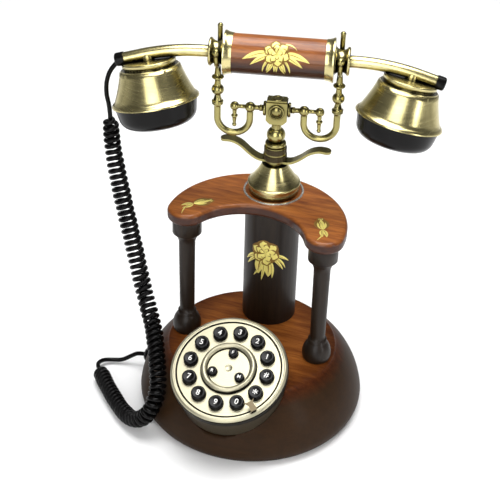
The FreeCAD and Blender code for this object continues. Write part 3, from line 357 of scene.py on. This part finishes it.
def speckled(name, tint, rough, grain, strength, depth, **shader):
    """A plain moulded, painted or pressed finish with a grain of the given size in metres."""
    tint = (*linear(tint), 1) if tint.startswith("#") else shade(tint)
    material, tree, principled = new_material(name, Base_Color=tint, Roughness=rough, **shader)
    dots = add(tree, "ShaderNodeTexNoise", {"Vector": spot(tree, (1 / grain,) * 3), "Scale": 1.0,
                                            "Detail": 3.0}).outputs["Fac"]
    shadow = (*(part * 0.72 for part in tint[:3]), 1)
    mottled = add(tree, "ShaderNodeMix", {0: dots, 6: shadow, 7: tint}, **BLEND)
    bump = add(tree, "ShaderNodeBump", {"Height": dots, "Strength": strength, "Distance": depth})
    rub = add(tree, "ShaderNodeMapRange", {"Value": dots, "To Min": rough * 0.8, "To Max": rough * 1.25})
    feed(principled, Base_Color=mottled.outputs[2], Roughness=rub.outputs[0], Normal=bump.outputs[0])
    return material


# How each finish is made. The plain ones give their colour, roughness, grain, and the bump's strength and
# depth. The brass ones give the frame and size of their brush lines, how brushed they are and their colour.
FINISHES = {
    "stained_walnut": (stained_walnut, (), {}),
    "sunburst_mahogany": (sunburst_mahogany, (), {}),
    "varnished_mahogany": (varnished_mahogany, (), {}),
    "turned_mahogany": (turned_mahogany, (), {}),
    # brass spun on a lathe: broad soft streaks, with brush lines round the piece
    "spun_brass": (brass, (CRADLE, (40, 40, 950), 0.28, "brass"), {}),
    # cast or drawn brass, buffed: sharper highlights and dark recesses
    "polished_brass": (brass, (HAND, (260, 260, 260), 0.12, "brass"), {}),
    # cast brass that has lost its lacquer: the same, but dull and brown
    "dull_brass": (brass, (CRADLE, (260, 260, 260), 0.2, "aged_brass"), {}),
    "dark_brass": (brass, (DIAL, (260, 260, 260), 0.2, "bronze"), {}),
    # nickel-plated ring under the bell: silver with a bright gloss
    "nickel_plate": (speckled, ("#e4e2da", 0.25, 0.002, 0.05, 0.0001), {"Metallic": 0.8}),
    "champagne_lacquer": (dial_lacquer, (), {}),
    # steel sprayed olive-bronze: a satin paint with a fine dust in it
    "bronze_paint": (speckled, ("bronze", 0.38, 0.0008, 0.1, 0.0001),
                     {"Metallic": 0.2, "Specular_IOR_Level": 0.3}),
    # injection-moulded ABS from a polished mould: deep black with a sharp gloss
    "gloss_abs": (speckled, ("black", 0.24, 0.006, 0.02, 0.0001), {"IOR": 1.53, "Specular_IOR_Level": 0.15}),
    # extruded soft vinyl: black and glossy, a little uneven
    "black_vinyl": (speckled, ("black", 0.24, 0.003, 0.05, 0.0001), {"IOR": 1.5, "Specular_IOR_Level": 0.12}),
    # pad-printed ink: matt and slightly uneven
    "white_ink": (speckled, ("figures", 0.5, 0.0006, 0.05, 0.00005), {}),
    # bronze-powder paint, brushed on by hand: pale gold with a soft sheen
    "gold_paint": (speckled, ("gold", 0.36, 0.0012, 0.15, 0.0001), {"Metallic": 0.45}),
    "gold_outline": (speckled, ("gold_shadow", 0.45, 0.0012, 0.15, 0.0001), {"Metallic": 0.3}),
    # moulded ABS with a fine spark-eroded grain, for what is inside or underneath
    "matt_abs": (speckled, ("#1c1b1a", 0.6, 0.0006, 0.2, 0.0001), {"IOR": 1.53}),
    # pressed wool felt: no gloss, soft fibres about 1 mm long
    "wool_felt": (speckled, ("#1d2a20", 0.95, 0.0009, 0.6, 0.0004), {"Sheen_Weight": 0.4}),
    # zinc-plated steel: a cold grey with a satin gloss
    "zinc_steel": (speckled, ("#9a9a9c", 0.35, 0.001, 0.08, 0.0001), {"Metallic": 1.0}),
    # solder mask on glass fibre: a smooth translucent green
    "solder_mask": (speckled, ("#215432", 0.3, 0.002, 0.05, 0.0001), {"IOR": 1.55}),
    # moulded silicone: soft grey, matt
    "soft_silicone": (speckled, ("#8f8f88", 0.7, 0.002, 0.1, 0.0001), {"IOR": 1.41}),
}


def finish_of(name):
    """The named finish, made when it is first asked for."""
    if name not in bpy.data.materials:
        maker, facts, shader = FINISHES[name]
        maker(name, *facts, **shader)
    return bpy.data.materials[name]


# ---------------------------------------------------------------- meshes
def piece(name, mesh, finish, body, slot, *nodes):
    """Link a finished mesh as a piece that rides on a body, if one is named, and stands for CAD nodes."""
    item = bpy.data.objects.new(name, mesh)
    bpy.context.scene.collection.objects.link(item)
    if not mesh.materials:
        mesh.materials.append(finish_of(finish))
    if body:
        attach(item, body)
    if nodes:
        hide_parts(*nodes)
    return item


def from_bmesh(name, shape, angle=38, recalculate=True):
    """Turn a bmesh into a smooth-shaded mesh with sharp edges past an angle."""
    if recalculate:
        bmesh.ops.recalc_face_normals(shape, faces=shape.faces)
    mesh = bpy.data.meshes.new(name)
    shape.to_mesh(mesh)
    shape.free()
    mesh.shade_smooth()
    mesh.set_sharp_from_angle(angle=math.radians(angle))
    return mesh


def smooth_node(node, finish, body, slot, angle=32):
    """A merged, smooth-shaded copy of a CAD node whose shape is already right."""
    shape = bmesh.new()
    shape.from_mesh(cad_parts[node].data)
    bmesh.ops.remove_doubles(shape, verts=shape.verts, dist=0.00001)
    bmesh.ops.dissolve_degenerate(shape, edges=shape.edges, dist=0.000005)
    flat = [all(edge.calc_face_angle(9) < 0.004 or edge.calc_face_angle(9) > math.radians(angle)
                for edge in face.edges) for face in shape.faces]
    mesh = from_bmesh(node, shape, angle)
    mesh.polygons.foreach_set("use_smooth", [not level for level in flat])
    return piece(node + "_smooth", mesh, finish, body, slot, node)


def tube(name, points, radius, sides):
    """A closed round tube along points in metres, with an even twist."""
    shape = bmesh.new()
    rings = []
    across = None
    for number, point in enumerate(points):
        ahead = (points[min(number + 1, len(points) - 1)] - points[max(number - 1, 0)]).normalized()
        if across is None:
            across = ahead.orthogonal().normalized()
        across = (across - ahead * across.dot(ahead)).normalized()
        other = ahead.cross(across)
        rings.append([shape.verts.new(point + (across * math.cos(turn) + other * math.sin(turn)) * radius)
                      for turn in (math.tau * step / sides for step in range(sides))])
    for first, second in zip(rings, rings[1:]):
        for step in range(sides):
            after = (step + 1) % sides
            shape.faces.new((first[step], first[after], second[after], second[step]))
    shape.faces.new(reversed(rings[0]))
    shape.faces.new(rings[-1])
    return from_bmesh(name, shape, 60)


# ---------------------------------------------------------------- cord
def spline_line(name, route):
    """Evenly spaced points of the smooth line that a NURBS spline makes of a route."""
    data = bpy.data.curves.new(name, "CURVE")
    data.dimensions = "3D"
    data.resolution_u = 40
    spline = data.splines.new("NURBS")
    spline.points.add(len(route) - 1)
    for point, place in zip(spline.points, route):
        point.co = (*place, 1)
    spline.order_u = 3
    spline.use_endpoint_u = True
    holder = bpy.data.objects.new(name, data)
    mesh = bpy.data.meshes.new_from_object(holder)
    line = [vertex.co.copy() for vertex in mesh.vertices]
    bpy.data.objects.remove(holder)
    bpy.data.curves.remove(data)
    bpy.data.meshes.remove(mesh)
    return line


def walk(line, step_at):
    """Walk along a line in steps whose length depends on where they are: (distance, point)."""
    gone = 0.0
    wanted = 0.0
    for start, end in zip(line, line[1:]):
        run = (end - start).length
        while run > 0 and wanted <= gone + run:
            point = start.lerp(end, (wanted - gone) / run)
            yield wanted, point
            wanted += step_at(point)
        gone += run


def coil_width(height):
    """Outside diameter of the curly part: tight at its top, slack where it sags, flat on the table."""
    marks = [(0.02, sizes().floor_width), (0.1, sizes().coil_slack), (0.17, sizes().coil_slack),
             (0.222, sizes().coil_width)]
    for (low, first), (high, second) in zip(marks, marks[1:]):
        if height < high:
            return first + (second - first) * max(height - low, 0) / (high - low)
    return marks[-1][1]


def coil_pitch(point):
    """Distance between turns: wider where the cord hangs than where it lies."""
    hanging = min(max((point.z - 0.01) / 0.05, 0), 1)
    return sizes().floor_pitch + (sizes().coil_pitch - sizes().floor_pitch) * hanging


def cord_path():
    """The cord's own centre line: smooth leads, and a helix round the route between them."""
    line = spline_line("cord_route", UPPER_LEAD + COIL + LOWER_LEAD)
    walked = list(walk(line, lambda point: coil_pitch(point) / STEPS_IN_TURN))
    first, last = [min(walked, key=lambda step: (step[1] - Vector(end)).length)[0]
                   for end in (COIL[0], COIL[-1])]
    path = []
    across = None
    phase = 0.0
    for number, (gone, point) in enumerate(walked):
        ahead = (walked[min(number + 1, len(walked) - 1)][1] - walked[max(number - 1, 0)][1]).normalized()
        if across is None:
            across = ahead.orthogonal().normalized()
        across = (across - ahead * across.dot(ahead)).normalized()
        inside = min(max(min(gone - first, last - gone) / COIL_STARTS_IN, 0), 1)
        swell = inside * inside * (3 - 2 * inside)
        if inside > 0:
            phase += math.tau / STEPS_IN_TURN
        uneven = 1 - 0.02 * (1 + math.sin(gone * 260))
        reach = (coil_width(point.z) - sizes().cord_thickness) / 2 * swell * uneven
        path.append(point + (across * math.cos(phase) + ahead.cross(across) * math.sin(phase)) * reach)
    return path


class TELEPHONE_OT_cord(bpy.types.Operator):
    """Make the curly handset cord"""
    bl_idname = "telephone.cord"
    bl_label = "Handset cord"

    def execute(self, context):
        path = cord_path()
        mesh = tube("handset_cord", path, sizes().cord_thickness / 2, 9)
        cord = piece("handset_cord", mesh, "black_vinyl", None, "cord_vinyl", "cord_upper_lead", "cord_coil",
                     "cord_lower_lead")
        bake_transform(cord)
        return {"FINISHED"}


# ---------------------------------------------------------------- base
class TELEPHONE_OT_base(bpy.types.Operator):
    """Finish the wooden base and what it stands on"""
    bl_idname = "telephone.base"
    bl_label = "Base"

    def execute(self, context):
        smooth_node("base_shell", "sunburst_mahogany", "root", "dark_wood")
        smooth_node("base_pad", "wool_felt", "root", "felt")
        smooth_node("bottom_plate", "matt_abs", "root", "abs")
        smooth_node("cord_bushing", "black_vinyl", "root", "cord_vinyl")
        smooth_node("line_jack", "matt_abs", "root", "abs")
        return {"FINISHED"}


class TELEPHONE_OT_frame(bpy.types.Operator):
    """Finish the column, the two posts and the crescent top plate"""
    bl_idname = "telephone.frame"
    bl_label = "Column, posts and top plate"

    def execute(self, context):
        smooth_node("column", "stained_walnut", "root", "dark_wood")
        smooth_node("post_left", "stained_walnut", "root", "dark_wood")
        smooth_node("post_right", "stained_walnut", "root", "dark_wood")
        smooth_node("top_plate", "varnished_mahogany", "root", "red_wood")
        return {"FINISHED"}


# ---------------------------------------------------------------- cradle
class TELEPHONE_OT_cradle(bpy.types.Operator):
    """Make the bell pedestal, the ribbed stem and the fork cradle"""
    bl_idname = "telephone.cradle"
    bl_label = "Pedestal and cradle"

    def execute(self, context):
        smooth_node("trim_ring", "nickel_plate", "root", "brass")
        smooth_node("bell_pedestal", "spun_brass", "root", "brass")
        for node in ("cradle_stem", "wing_lever", "cross_block", "cross_rod", "fork_arm_left",
                     "fork_arm_right"):
            smooth_node(node, "dull_brass", "cradle", "brass")
        thumb_nut_ribs()
        return {"FINISHED"}


def rib_tree():
    """Geometry Nodes: upright ribs spaced evenly round a ring."""
    tree = bpy.data.node_groups.new("upright_ribs", "GeometryNodeTree")
    tree.interface.new_socket("Geometry", in_out="OUTPUT", socket_type="NodeSocketGeometry")
    sockets = {}
    for name, kind in (("Count", "Int"), ("Radius", "Float"), ("Height", "Float"), ("Tall", "Float"),
                       ("Wide", "Float"), ("Finish", "Material")):
        socket = tree.interface.new_socket(name, in_out="INPUT", socket_type=f"NodeSocket{kind}")
        sockets[name] = socket.identifier
    given = add(tree, "NodeGroupInput").outputs
    ring = add(tree, "GeometryNodeMeshCircle", {"Vertices": given["Count"], "Radius": given["Radius"]})
    lift = add(tree, "ShaderNodeCombineXYZ", {2: given["Height"]})
    raised = add(tree, "GeometryNodeSetPosition", {"Geometry": ring.outputs[0], "Offset": lift.outputs[0]})
    bar = add(tree, "GeometryNodeMeshCylinder", {"Vertices": 8, "Radius": given["Wide"],
                                                 "Depth": given["Tall"]})
    ribs = add(tree, "GeometryNodeInstanceOnPoints", {"Points": raised.outputs[0],
                                                      "Instance": bar.outputs[0]})
    real = add(tree, "GeometryNodeRealizeInstances", {0: ribs.outputs[0]})
    coloured = add(tree, "GeometryNodeSetMaterial", {"Geometry": real.outputs[0],
                                                     "Material": given["Finish"]})
    add(tree, "NodeGroupOutput", {0: coloured.outputs[0]})
    return tree, sockets


def repeated(name, tree, sockets, **values):
    """Run a node tree on an empty mesh and return the plain mesh that it makes."""
    holder = bpy.data.objects.new(name, bpy.data.meshes.new(name))
    bpy.context.scene.collection.objects.link(holder)
    modifier = holder.modifiers.new("nodes", "NODES")
    modifier.node_group = tree
    for label, setting in values.items():
        modifier[sockets[label]] = setting
    bpy.context.view_layer.update()
    ready = holder.evaluated_get(bpy.context.evaluated_depsgraph_get())
    mesh = bpy.data.meshes.new_from_object(ready)
    holder.modifiers.clear()
    bpy.data.objects.remove(holder)
    return mesh


def thumb_nut_ribs():
    """Two bands of ribs round the thumb nut above the lever, over a band in darker brass."""
    tree, sockets = rib_tree()
    shape = bmesh.new()
    for _, middle, low, high, _ in NUT_BANDS:
        place = CRADLE @ Matrix.Translation((0, 0, middle))
        bmesh.ops.create_cone(shape, cap_ends=True, segments=96, radius1=low, radius2=high,
                              depth=NUT_BAND_TALL, matrix=place)
    piece("nut_bands", from_bmesh("nut_bands", shape), "dark_brass", "cradle", "brass")
    for name, middle, _, _, radius in NUT_BANDS:
        mesh = repeated(f"nut_ribs_{name}", tree, sockets, Count=sizes().rib_count, Radius=radius,
                        Height=middle, Tall=NUT_BAND_TALL, Wide=NUT_RIB_RADIUS,
                        Finish=finish_of("dark_brass"))
        mesh.transform(CRADLE)
        mesh.shade_smooth()
        mesh.set_sharp_from_angle(angle=math.radians(50))
        piece(f"nut_ribs_{name}", mesh, "dark_brass", "cradle", "brass")


# ---------------------------------------------------------------- dial
class TELEPHONE_OT_dial(bpy.types.Operator):
    """Finish the dial's housing, bezel, plate, hub and finger stop"""
    bl_idname = "telephone.dial"
    bl_label = "Dial"

    def execute(self, context):
        smooth_node("dial_housing", "bronze_paint", "root", "dark_bronze")
        for node in ("dial_bezel", "dial_plate", "dial_hub"):
            smooth_node(node, "champagne_lacquer", "root", "dial_cream", 20)
        smooth_node("finger_stop", "dark_brass", "root", "stop_metal")
        return {"FINISHED"}


def figure_mesh(name, text, size, place, radius):
    """A printed figure that lies in a key's dished top."""
    font = bpy.data.curves.new(name, "FONT")
    font.body = text
    font.size = size
    font.align_x = "CENTER"
    font.align_y = "CENTER"
    font.offset = 0.00006
    font.resolution_u = 6
    holder = bpy.data.objects.new(name, font)
    mesh = bpy.data.meshes.new_from_object(holder)
    bpy.data.objects.remove(holder)
    bpy.data.curves.remove(font)
    low = Vector([min(vertex.co[axis] for vertex in mesh.vertices) for axis in (0, 1)])
    high = Vector([max(vertex.co[axis] for vertex in mesh.vertices) for axis in (0, 1)])
    middle = (low + high) / 2
    shape = bmesh.new()
    shape.from_mesh(mesh)
    bpy.data.meshes.remove(mesh)
    bmesh.ops.remove_doubles(shape, verts=shape.verts, dist=0.000002)
    top = list(shape.faces)
    for vertex in shape.verts:
        across, up = vertex.co.x - middle.x, vertex.co.y - middle.y
        dish = (across ** 2 + up ** 2) / (2 * radius) - DISH_DEPTH
        vertex.co = (across, up, dish + 0.0001)
    grown = bmesh.ops.extrude_face_region(shape, geom=top)
    for item in grown["geom"]:
        if isinstance(item, bmesh.types.BMVert):
            item.co.z -= 0.0002
    shape.transform(place)
    return from_bmesh(name, shape, 30)


class TELEPHONE_OT_keys(bpy.types.Operator):
    """Make the number keys and function keys with their figures"""
    bl_idname = "telephone.keys"
    bl_label = "Keys"

    def execute(self, context):
        size = sizes().figure_size
        for name, text, angle in KEYS:
            self.key(f"key_{name}", text, KEY_CIRCLE, angle, size * 1.5 if text == "*" else size, KEY_DISH)
        for name, text, angle in HUB_KEYS:
            self.key(f"key_{name}", text, HUB_CIRCLE, angle, size * 0.6, HUB_DISH)
        return {"FINISHED"}

    def key(self, node, text, circle, angle, size, dish):
        turn = math.radians(angle)
        place = DIAL @ Matrix.Translation((circle * math.cos(turn), circle * math.sin(turn), 0))
        smooth_node(node, "gloss_abs", node, "black_plastic")
        mesh = figure_mesh(node + "_figure", text, size, place, dish)
        piece(node + "_figure", mesh, "white_ink", node, "black_plastic")


# ---------------------------------------------------------------- handset
class TELEPHONE_OT_handset(bpy.types.Operator):
    """Finish the handset: grip, spools, arms, cups and caps"""
    bl_idname = "telephone.handset"
    bl_label = "Handset"

    def execute(self, context):
        smooth_node("handset_barrel", "turned_mahogany", "handset", "red_wood")
        for node in ("end_spools", "handset_arm_left", "handset_arm_right"):
            smooth_node(node, "polished_brass", "handset", "brass")
        for node in ("cup_left", "cup_right"):
            smooth_node(node, "spun_brass", "handset", "brass")
        for node in ("arm_caps", "earpiece_cap", "mouthpiece_cap"):
            smooth_node(node, "gloss_abs", "handset", "black_plastic")
        return {"FINISHED"}


# ---------------------------------------------------------------- painted flowers
def on_round(place, radius):
    """Wrap (along, round, height) in metres onto a cylinder about a frame's Z axis, facing its -Y side."""
    def wrap(along, round_, height):
        turn = round_ / radius
        reach = radius + height
        return place @ Vector((reach * math.sin(turn), -reach * math.cos(turn), along))
    return wrap


def on_flat(place):
    """Lay (across, up, height) on a frame's XY plane."""
    return lambda across, up, height: place @ Vector((across, up, height))


def leaf(shape, wrap, foot, angle, long, wide, height, bend=0.0, tip=0.6, index=0):
    """One petal or leaf as a domed strip. foot and angle place it, bend curves it, tip shapes its end."""
    steps, halves = 10, 3
    rows = []
    for step in range(steps + 1):
        part = step / steps
        swing = math.radians(angle + bend * part)
        mid = Vector(foot) + Vector((math.cos(swing), math.sin(swing))) * long * part
        side = Vector((-math.sin(swing), math.cos(swing)))
        half = wide / 2 * math.sin(math.pi * min(part ** tip, 1)) ** 0.8 + 0.00004
        row = []
        for number in range(-halves, halves + 1):
            share = number / halves
            place = mid + side * half * share
            row.append(shape.verts.new(wrap(place.x, place.y, height * (1 - 0.75 * share * share))))
        rows.append(row)
    for first, second in zip(rows, rows[1:]):
        for number in range(len(first) - 1):
            face = shape.faces.new((first[number], second[number], second[number + 1], first[number + 1]))
            face.material_index = index


def rose(spin):
    """Petals of an open rose in three layers: (layer, angle, length, width, bend)."""
    layers = ((6, 0.62, 0.56), (5, 0.45, 0.44), (4, 0.27, 0.28))
    return [(layer, spin + 360 / count * number + 31 * layer, reach, width, 12)
            for layer, (count, reach, width) in enumerate(layers) for number in range(count)]


BUD = [(0, -17, 1.35, 0.8, 22), (0, 17, 1.35, 0.8, -22), (1, 0, 1.3, 0.62, 0), (2, 4, 0.85, 0.36, 0)]


def paint_flower(name, wrap, size, petals, leaves, body, slot, tip=1.9, gap=0.3):
    """Gold petals with brown outlines over thin pointed leaves, generic in design."""
    relief = sizes().decal_relief
    shape = bmesh.new()
    for angle, long, wide, bend in leaves:
        foot = Vector((math.cos(math.radians(angle)), math.sin(math.radians(angle)))) * size * gap
        leaf(shape, wrap, foot, angle, size * long, size * wide, relief * 0.6, bend, 0.8, 0)
        leaf(shape, wrap, foot, angle, size * long * 0.85, size * wide * 0.2, relief * 0.8, bend, 0.8, 1)
    for number, (layer, angle, reach, width, bend) in enumerate(petals):
        height = relief * (1.0 + 0.45 * layer + 0.03 * number)
        leaf(shape, wrap, (0, 0), angle, size * reach, size * width, height, bend, tip, 1)
        leaf(shape, wrap, (0, 0), angle, size * reach * 0.92, size * width * 0.8, height + relief * 0.22,
             bend, tip, 0)
    mesh = from_bmesh(name, shape, 60, recalculate=False)
    mesh.materials.append(finish_of("gold_paint"))
    mesh.materials.append(finish_of("gold_outline"))
    return piece(name, mesh, "gold_paint", body, slot)


class TELEPHONE_OT_flowers(bpy.types.Operator):
    """Paint the gold flowers on the grip, the column and the top plate"""
    bl_idname = "telephone.flowers"
    bl_label = "Painted flowers"

    def execute(self, context):
        # leaves are (angle, length, width, bend). On the grip 90 is down, on the column 180 is down
        grip = HAND @ Matrix.Rotation(math.radians(-20), 4, "Z") @ Matrix.Translation((0, 0, -0.001))
        paint_flower("grip_flower", on_round(grip, GRIP_RADIUS), 0.0165, rose(10), [
            (0, 1.2, 0.26, 16), (180, 1.25, 0.26, -16), (16, 1.0, 0.2, 14), (164, 1.0, 0.2, -14),
            (38, 0.85, 0.1, 26), (142, 0.85, 0.1, -26), (60, 0.7, 0.12, 8), (74, 0.78, 0.12, -6),
            (87, 0.62, 0.1, 4), (98, 0.62, 0.1, -4), (109, 0.78, 0.12, 6), (122, 0.7, 0.12, -8),
            (-62, 0.75, 0.1, 70)], "handset", "red_wood")
        front = COLUMN @ Matrix.Rotation(math.radians(4), 4, "Z") @ Matrix.Translation((0, 0, 0.1235))
        paint_flower("column_flower", on_round(front, COLUMN_RADIUS), 0.0195, rose(40), [
            (163, 0.85, 0.4, 12), (206, 0.8, 0.38, -16), (182, 1.05, 0.13, 4), (194, 1.0, 0.12, 10),
            (150, 0.95, 0.14, 20), (100, 0.85, 0.12, 20), (113, 0.9, 0.1, 25), (126, 0.85, 0.12, 15),
            (252, 0.8, 0.15, -20), (236, 0.85, 0.13, -12)], "root", "dark_wood")
        for name, across, back, turn, stalk, bend, low in (("left_bud", -0.051, 0.0015, 40, 186, 34, 214),
                                                          ("right_bud", 0.0515, 0.001, 112, 180, -24, 210)):
            plate = Matrix.Translation((across, back, TOP_PLATE_HEIGHT))
            plate = plate @ Matrix.Rotation(math.radians(turn), 4, "Z")
            long = 1.35 if bend > 0 else 1.2
            paint_flower(name, on_flat(plate), 0.0125, BUD, [
                (stalk, long, 0.1, bend), (150, 0.75, 0.26, 25), (low, 0.8, 0.26, -20)],
                "root", "red_wood", 1.0, 0.02)
        return {"FINISHED"}


# ---------------------------------------------------------------- inside
class TELEPHONE_OT_insides(bpy.types.Operator):
    """Give the parts inside the base, column and cups their finishes"""
    bl_idname = "telephone.insides"
    bl_label = "Inside parts"

    def execute(self, context):
        inside = {
            "zinc_steel": ("wood_screws", "ballast_weight", "plunger_spring"),
            "solder_mask": ("main_board", "keypad_board"),
            "soft_silicone": ("keypad_membrane",),
            "polished_brass": ("core_tube",),
            "matt_abs": ("ringer_speaker", "hook_switch", "receiver_capsule", "microphone_capsule"),
        }
        for finish, nodes in inside.items():
            for node in nodes:
                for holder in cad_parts[node].material_slots:
                    holder.material = finish_of(finish)
        return {"FINISHED"}


# ---------------------------------------------------------------- stage
class TELEPHONE_OT_stage(bpy.types.Operator):
    """Set up the floor, the soft lights and the camera"""
    bl_idname = "telephone.stage"
    bl_label = "Stage"

    def execute(self, context):
        self.camera()
        self.floor()
        for light in LIGHTS:
            self.light(*light)
        world = bpy.data.worlds.new("studio")
        world.use_nodes = True
        tree = world.node_tree
        tree.nodes.clear()
        height = add(tree, "ShaderNodeSeparateXYZ", {0: add(tree, "ShaderNodeTexCoord").outputs["Generated"]})
        room = add(tree, "ShaderNodeValToRGB", {"Fac": height.outputs[2]},
                   stops=[(0.0, (0.5, 0.5, 0.5, 1)), (0.3, (0.12, 0.12, 0.12, 1)), (0.75, (0.1, 0.1, 0.1, 1)),
                          (1.0, (0.3, 0.3, 0.3, 1))])
        sky = add(tree, "ShaderNodeBackground", {"Color": room.outputs[0]})
        add(tree, "ShaderNodeOutputWorld", {"Surface": sky.outputs[0]})
        context.scene.world = world
        context.scene.view_settings.view_transform = "Standard"
        return {"FINISHED"}

    def camera(self):
        azimuth, height, roll = (math.radians(angle) for angle in CAMERA_ANGLES)
        back = Vector((math.sin(azimuth) * math.cos(height), -math.cos(azimuth) * math.cos(height),
                       math.sin(height)))
        right = Vector((math.cos(azimuth), math.sin(azimuth), 0))
        up = back.cross(right)
        across = right * math.cos(roll) + up * math.sin(roll)
        data = bpy.data.cameras.new("camera")
        data.lens = 89.74
        data.sensor_width = 36
        item = bpy.data.objects.new("camera", data)
        item.matrix_world = Matrix((across, back.cross(across), back)).transposed().to_4x4()
        item.location = CAMERA_PLACE
        bpy.context.scene.collection.objects.link(item)
        bpy.context.scene.camera = item

    def floor(self):
        shape = bmesh.new()
        bmesh.ops.create_grid(shape, x_segments=1, y_segments=1, size=6)
        mesh = bpy.data.meshes.new("floor")
        shape.to_mesh(mesh)
        shape.free()
        item = bpy.data.objects.new("floor", mesh)
        bpy.context.scene.collection.objects.link(item)
        mesh.materials.append(new_material("floor_paper", Base_Color=(0.93, 0.93, 0.93, 1), Roughness=0.8)[0])

    def light(self, name, place, size, power):
        data = bpy.data.lights.new(name, "AREA")
        data.shape = "RECTANGLE"
        data.size, data.size_y = size
        data.energy = power
        item = bpy.data.objects.new(name, data)
        item.location = place
        item.rotation_euler = (Vector(place) - AIM).to_track_quat("Z", "Y").to_euler()
        bpy.context.scene.collection.objects.link(item)


OPERATORS = (TELEPHONE_OT_stage, TELEPHONE_OT_cord, TELEPHONE_OT_base, TELEPHONE_OT_frame,
             TELEPHONE_OT_cradle, TELEPHONE_OT_dial, TELEPHONE_OT_keys, TELEPHONE_OT_handset,
             TELEPHONE_OT_flowers, TELEPHONE_OT_insides)


class TELEPHONE_PT_panel(bpy.types.Panel):
    """Lists the telephone's settings and the operators that make it"""
    bl_idname = "TELEPHONE_PT_panel"
    bl_label = "Antique telephone"
    bl_space_type = "VIEW_3D"
    bl_region_type = "UI"
    bl_category = "Telephone"

    def draw(self, context):
        for settings in (context.scene.telephone_sizes, context.scene.telephone_colours):
            for name in settings.__annotations__:
                self.layout.prop(settings, name)
        for operator in OPERATORS:
            self.layout.operator(operator.bl_idname)


CLASSES = (TelephoneSizes, TelephoneColours, *OPERATORS, TELEPHONE_PT_panel)


def register():
    for item in CLASSES:
        bpy.utils.register_class(item)
    bpy.types.Scene.telephone_sizes = bpy.props.PointerProperty(type=TelephoneSizes)
    bpy.types.Scene.telephone_colours = bpy.props.PointerProperty(type=TelephoneColours)


def unregister():
    del bpy.types.Scene.telephone_colours
    del bpy.types.Scene.telephone_sizes
    for item in reversed(CLASSES):
        bpy.utils.unregister_class(item)


def main():
    register()
    for operator in OPERATORS:
        group, name = operator.bl_idname.split(".")
        getattr(getattr(bpy.ops, group), name)()
    bpy.context.view_layer.update()


if __name__ == "__main__":
    main()
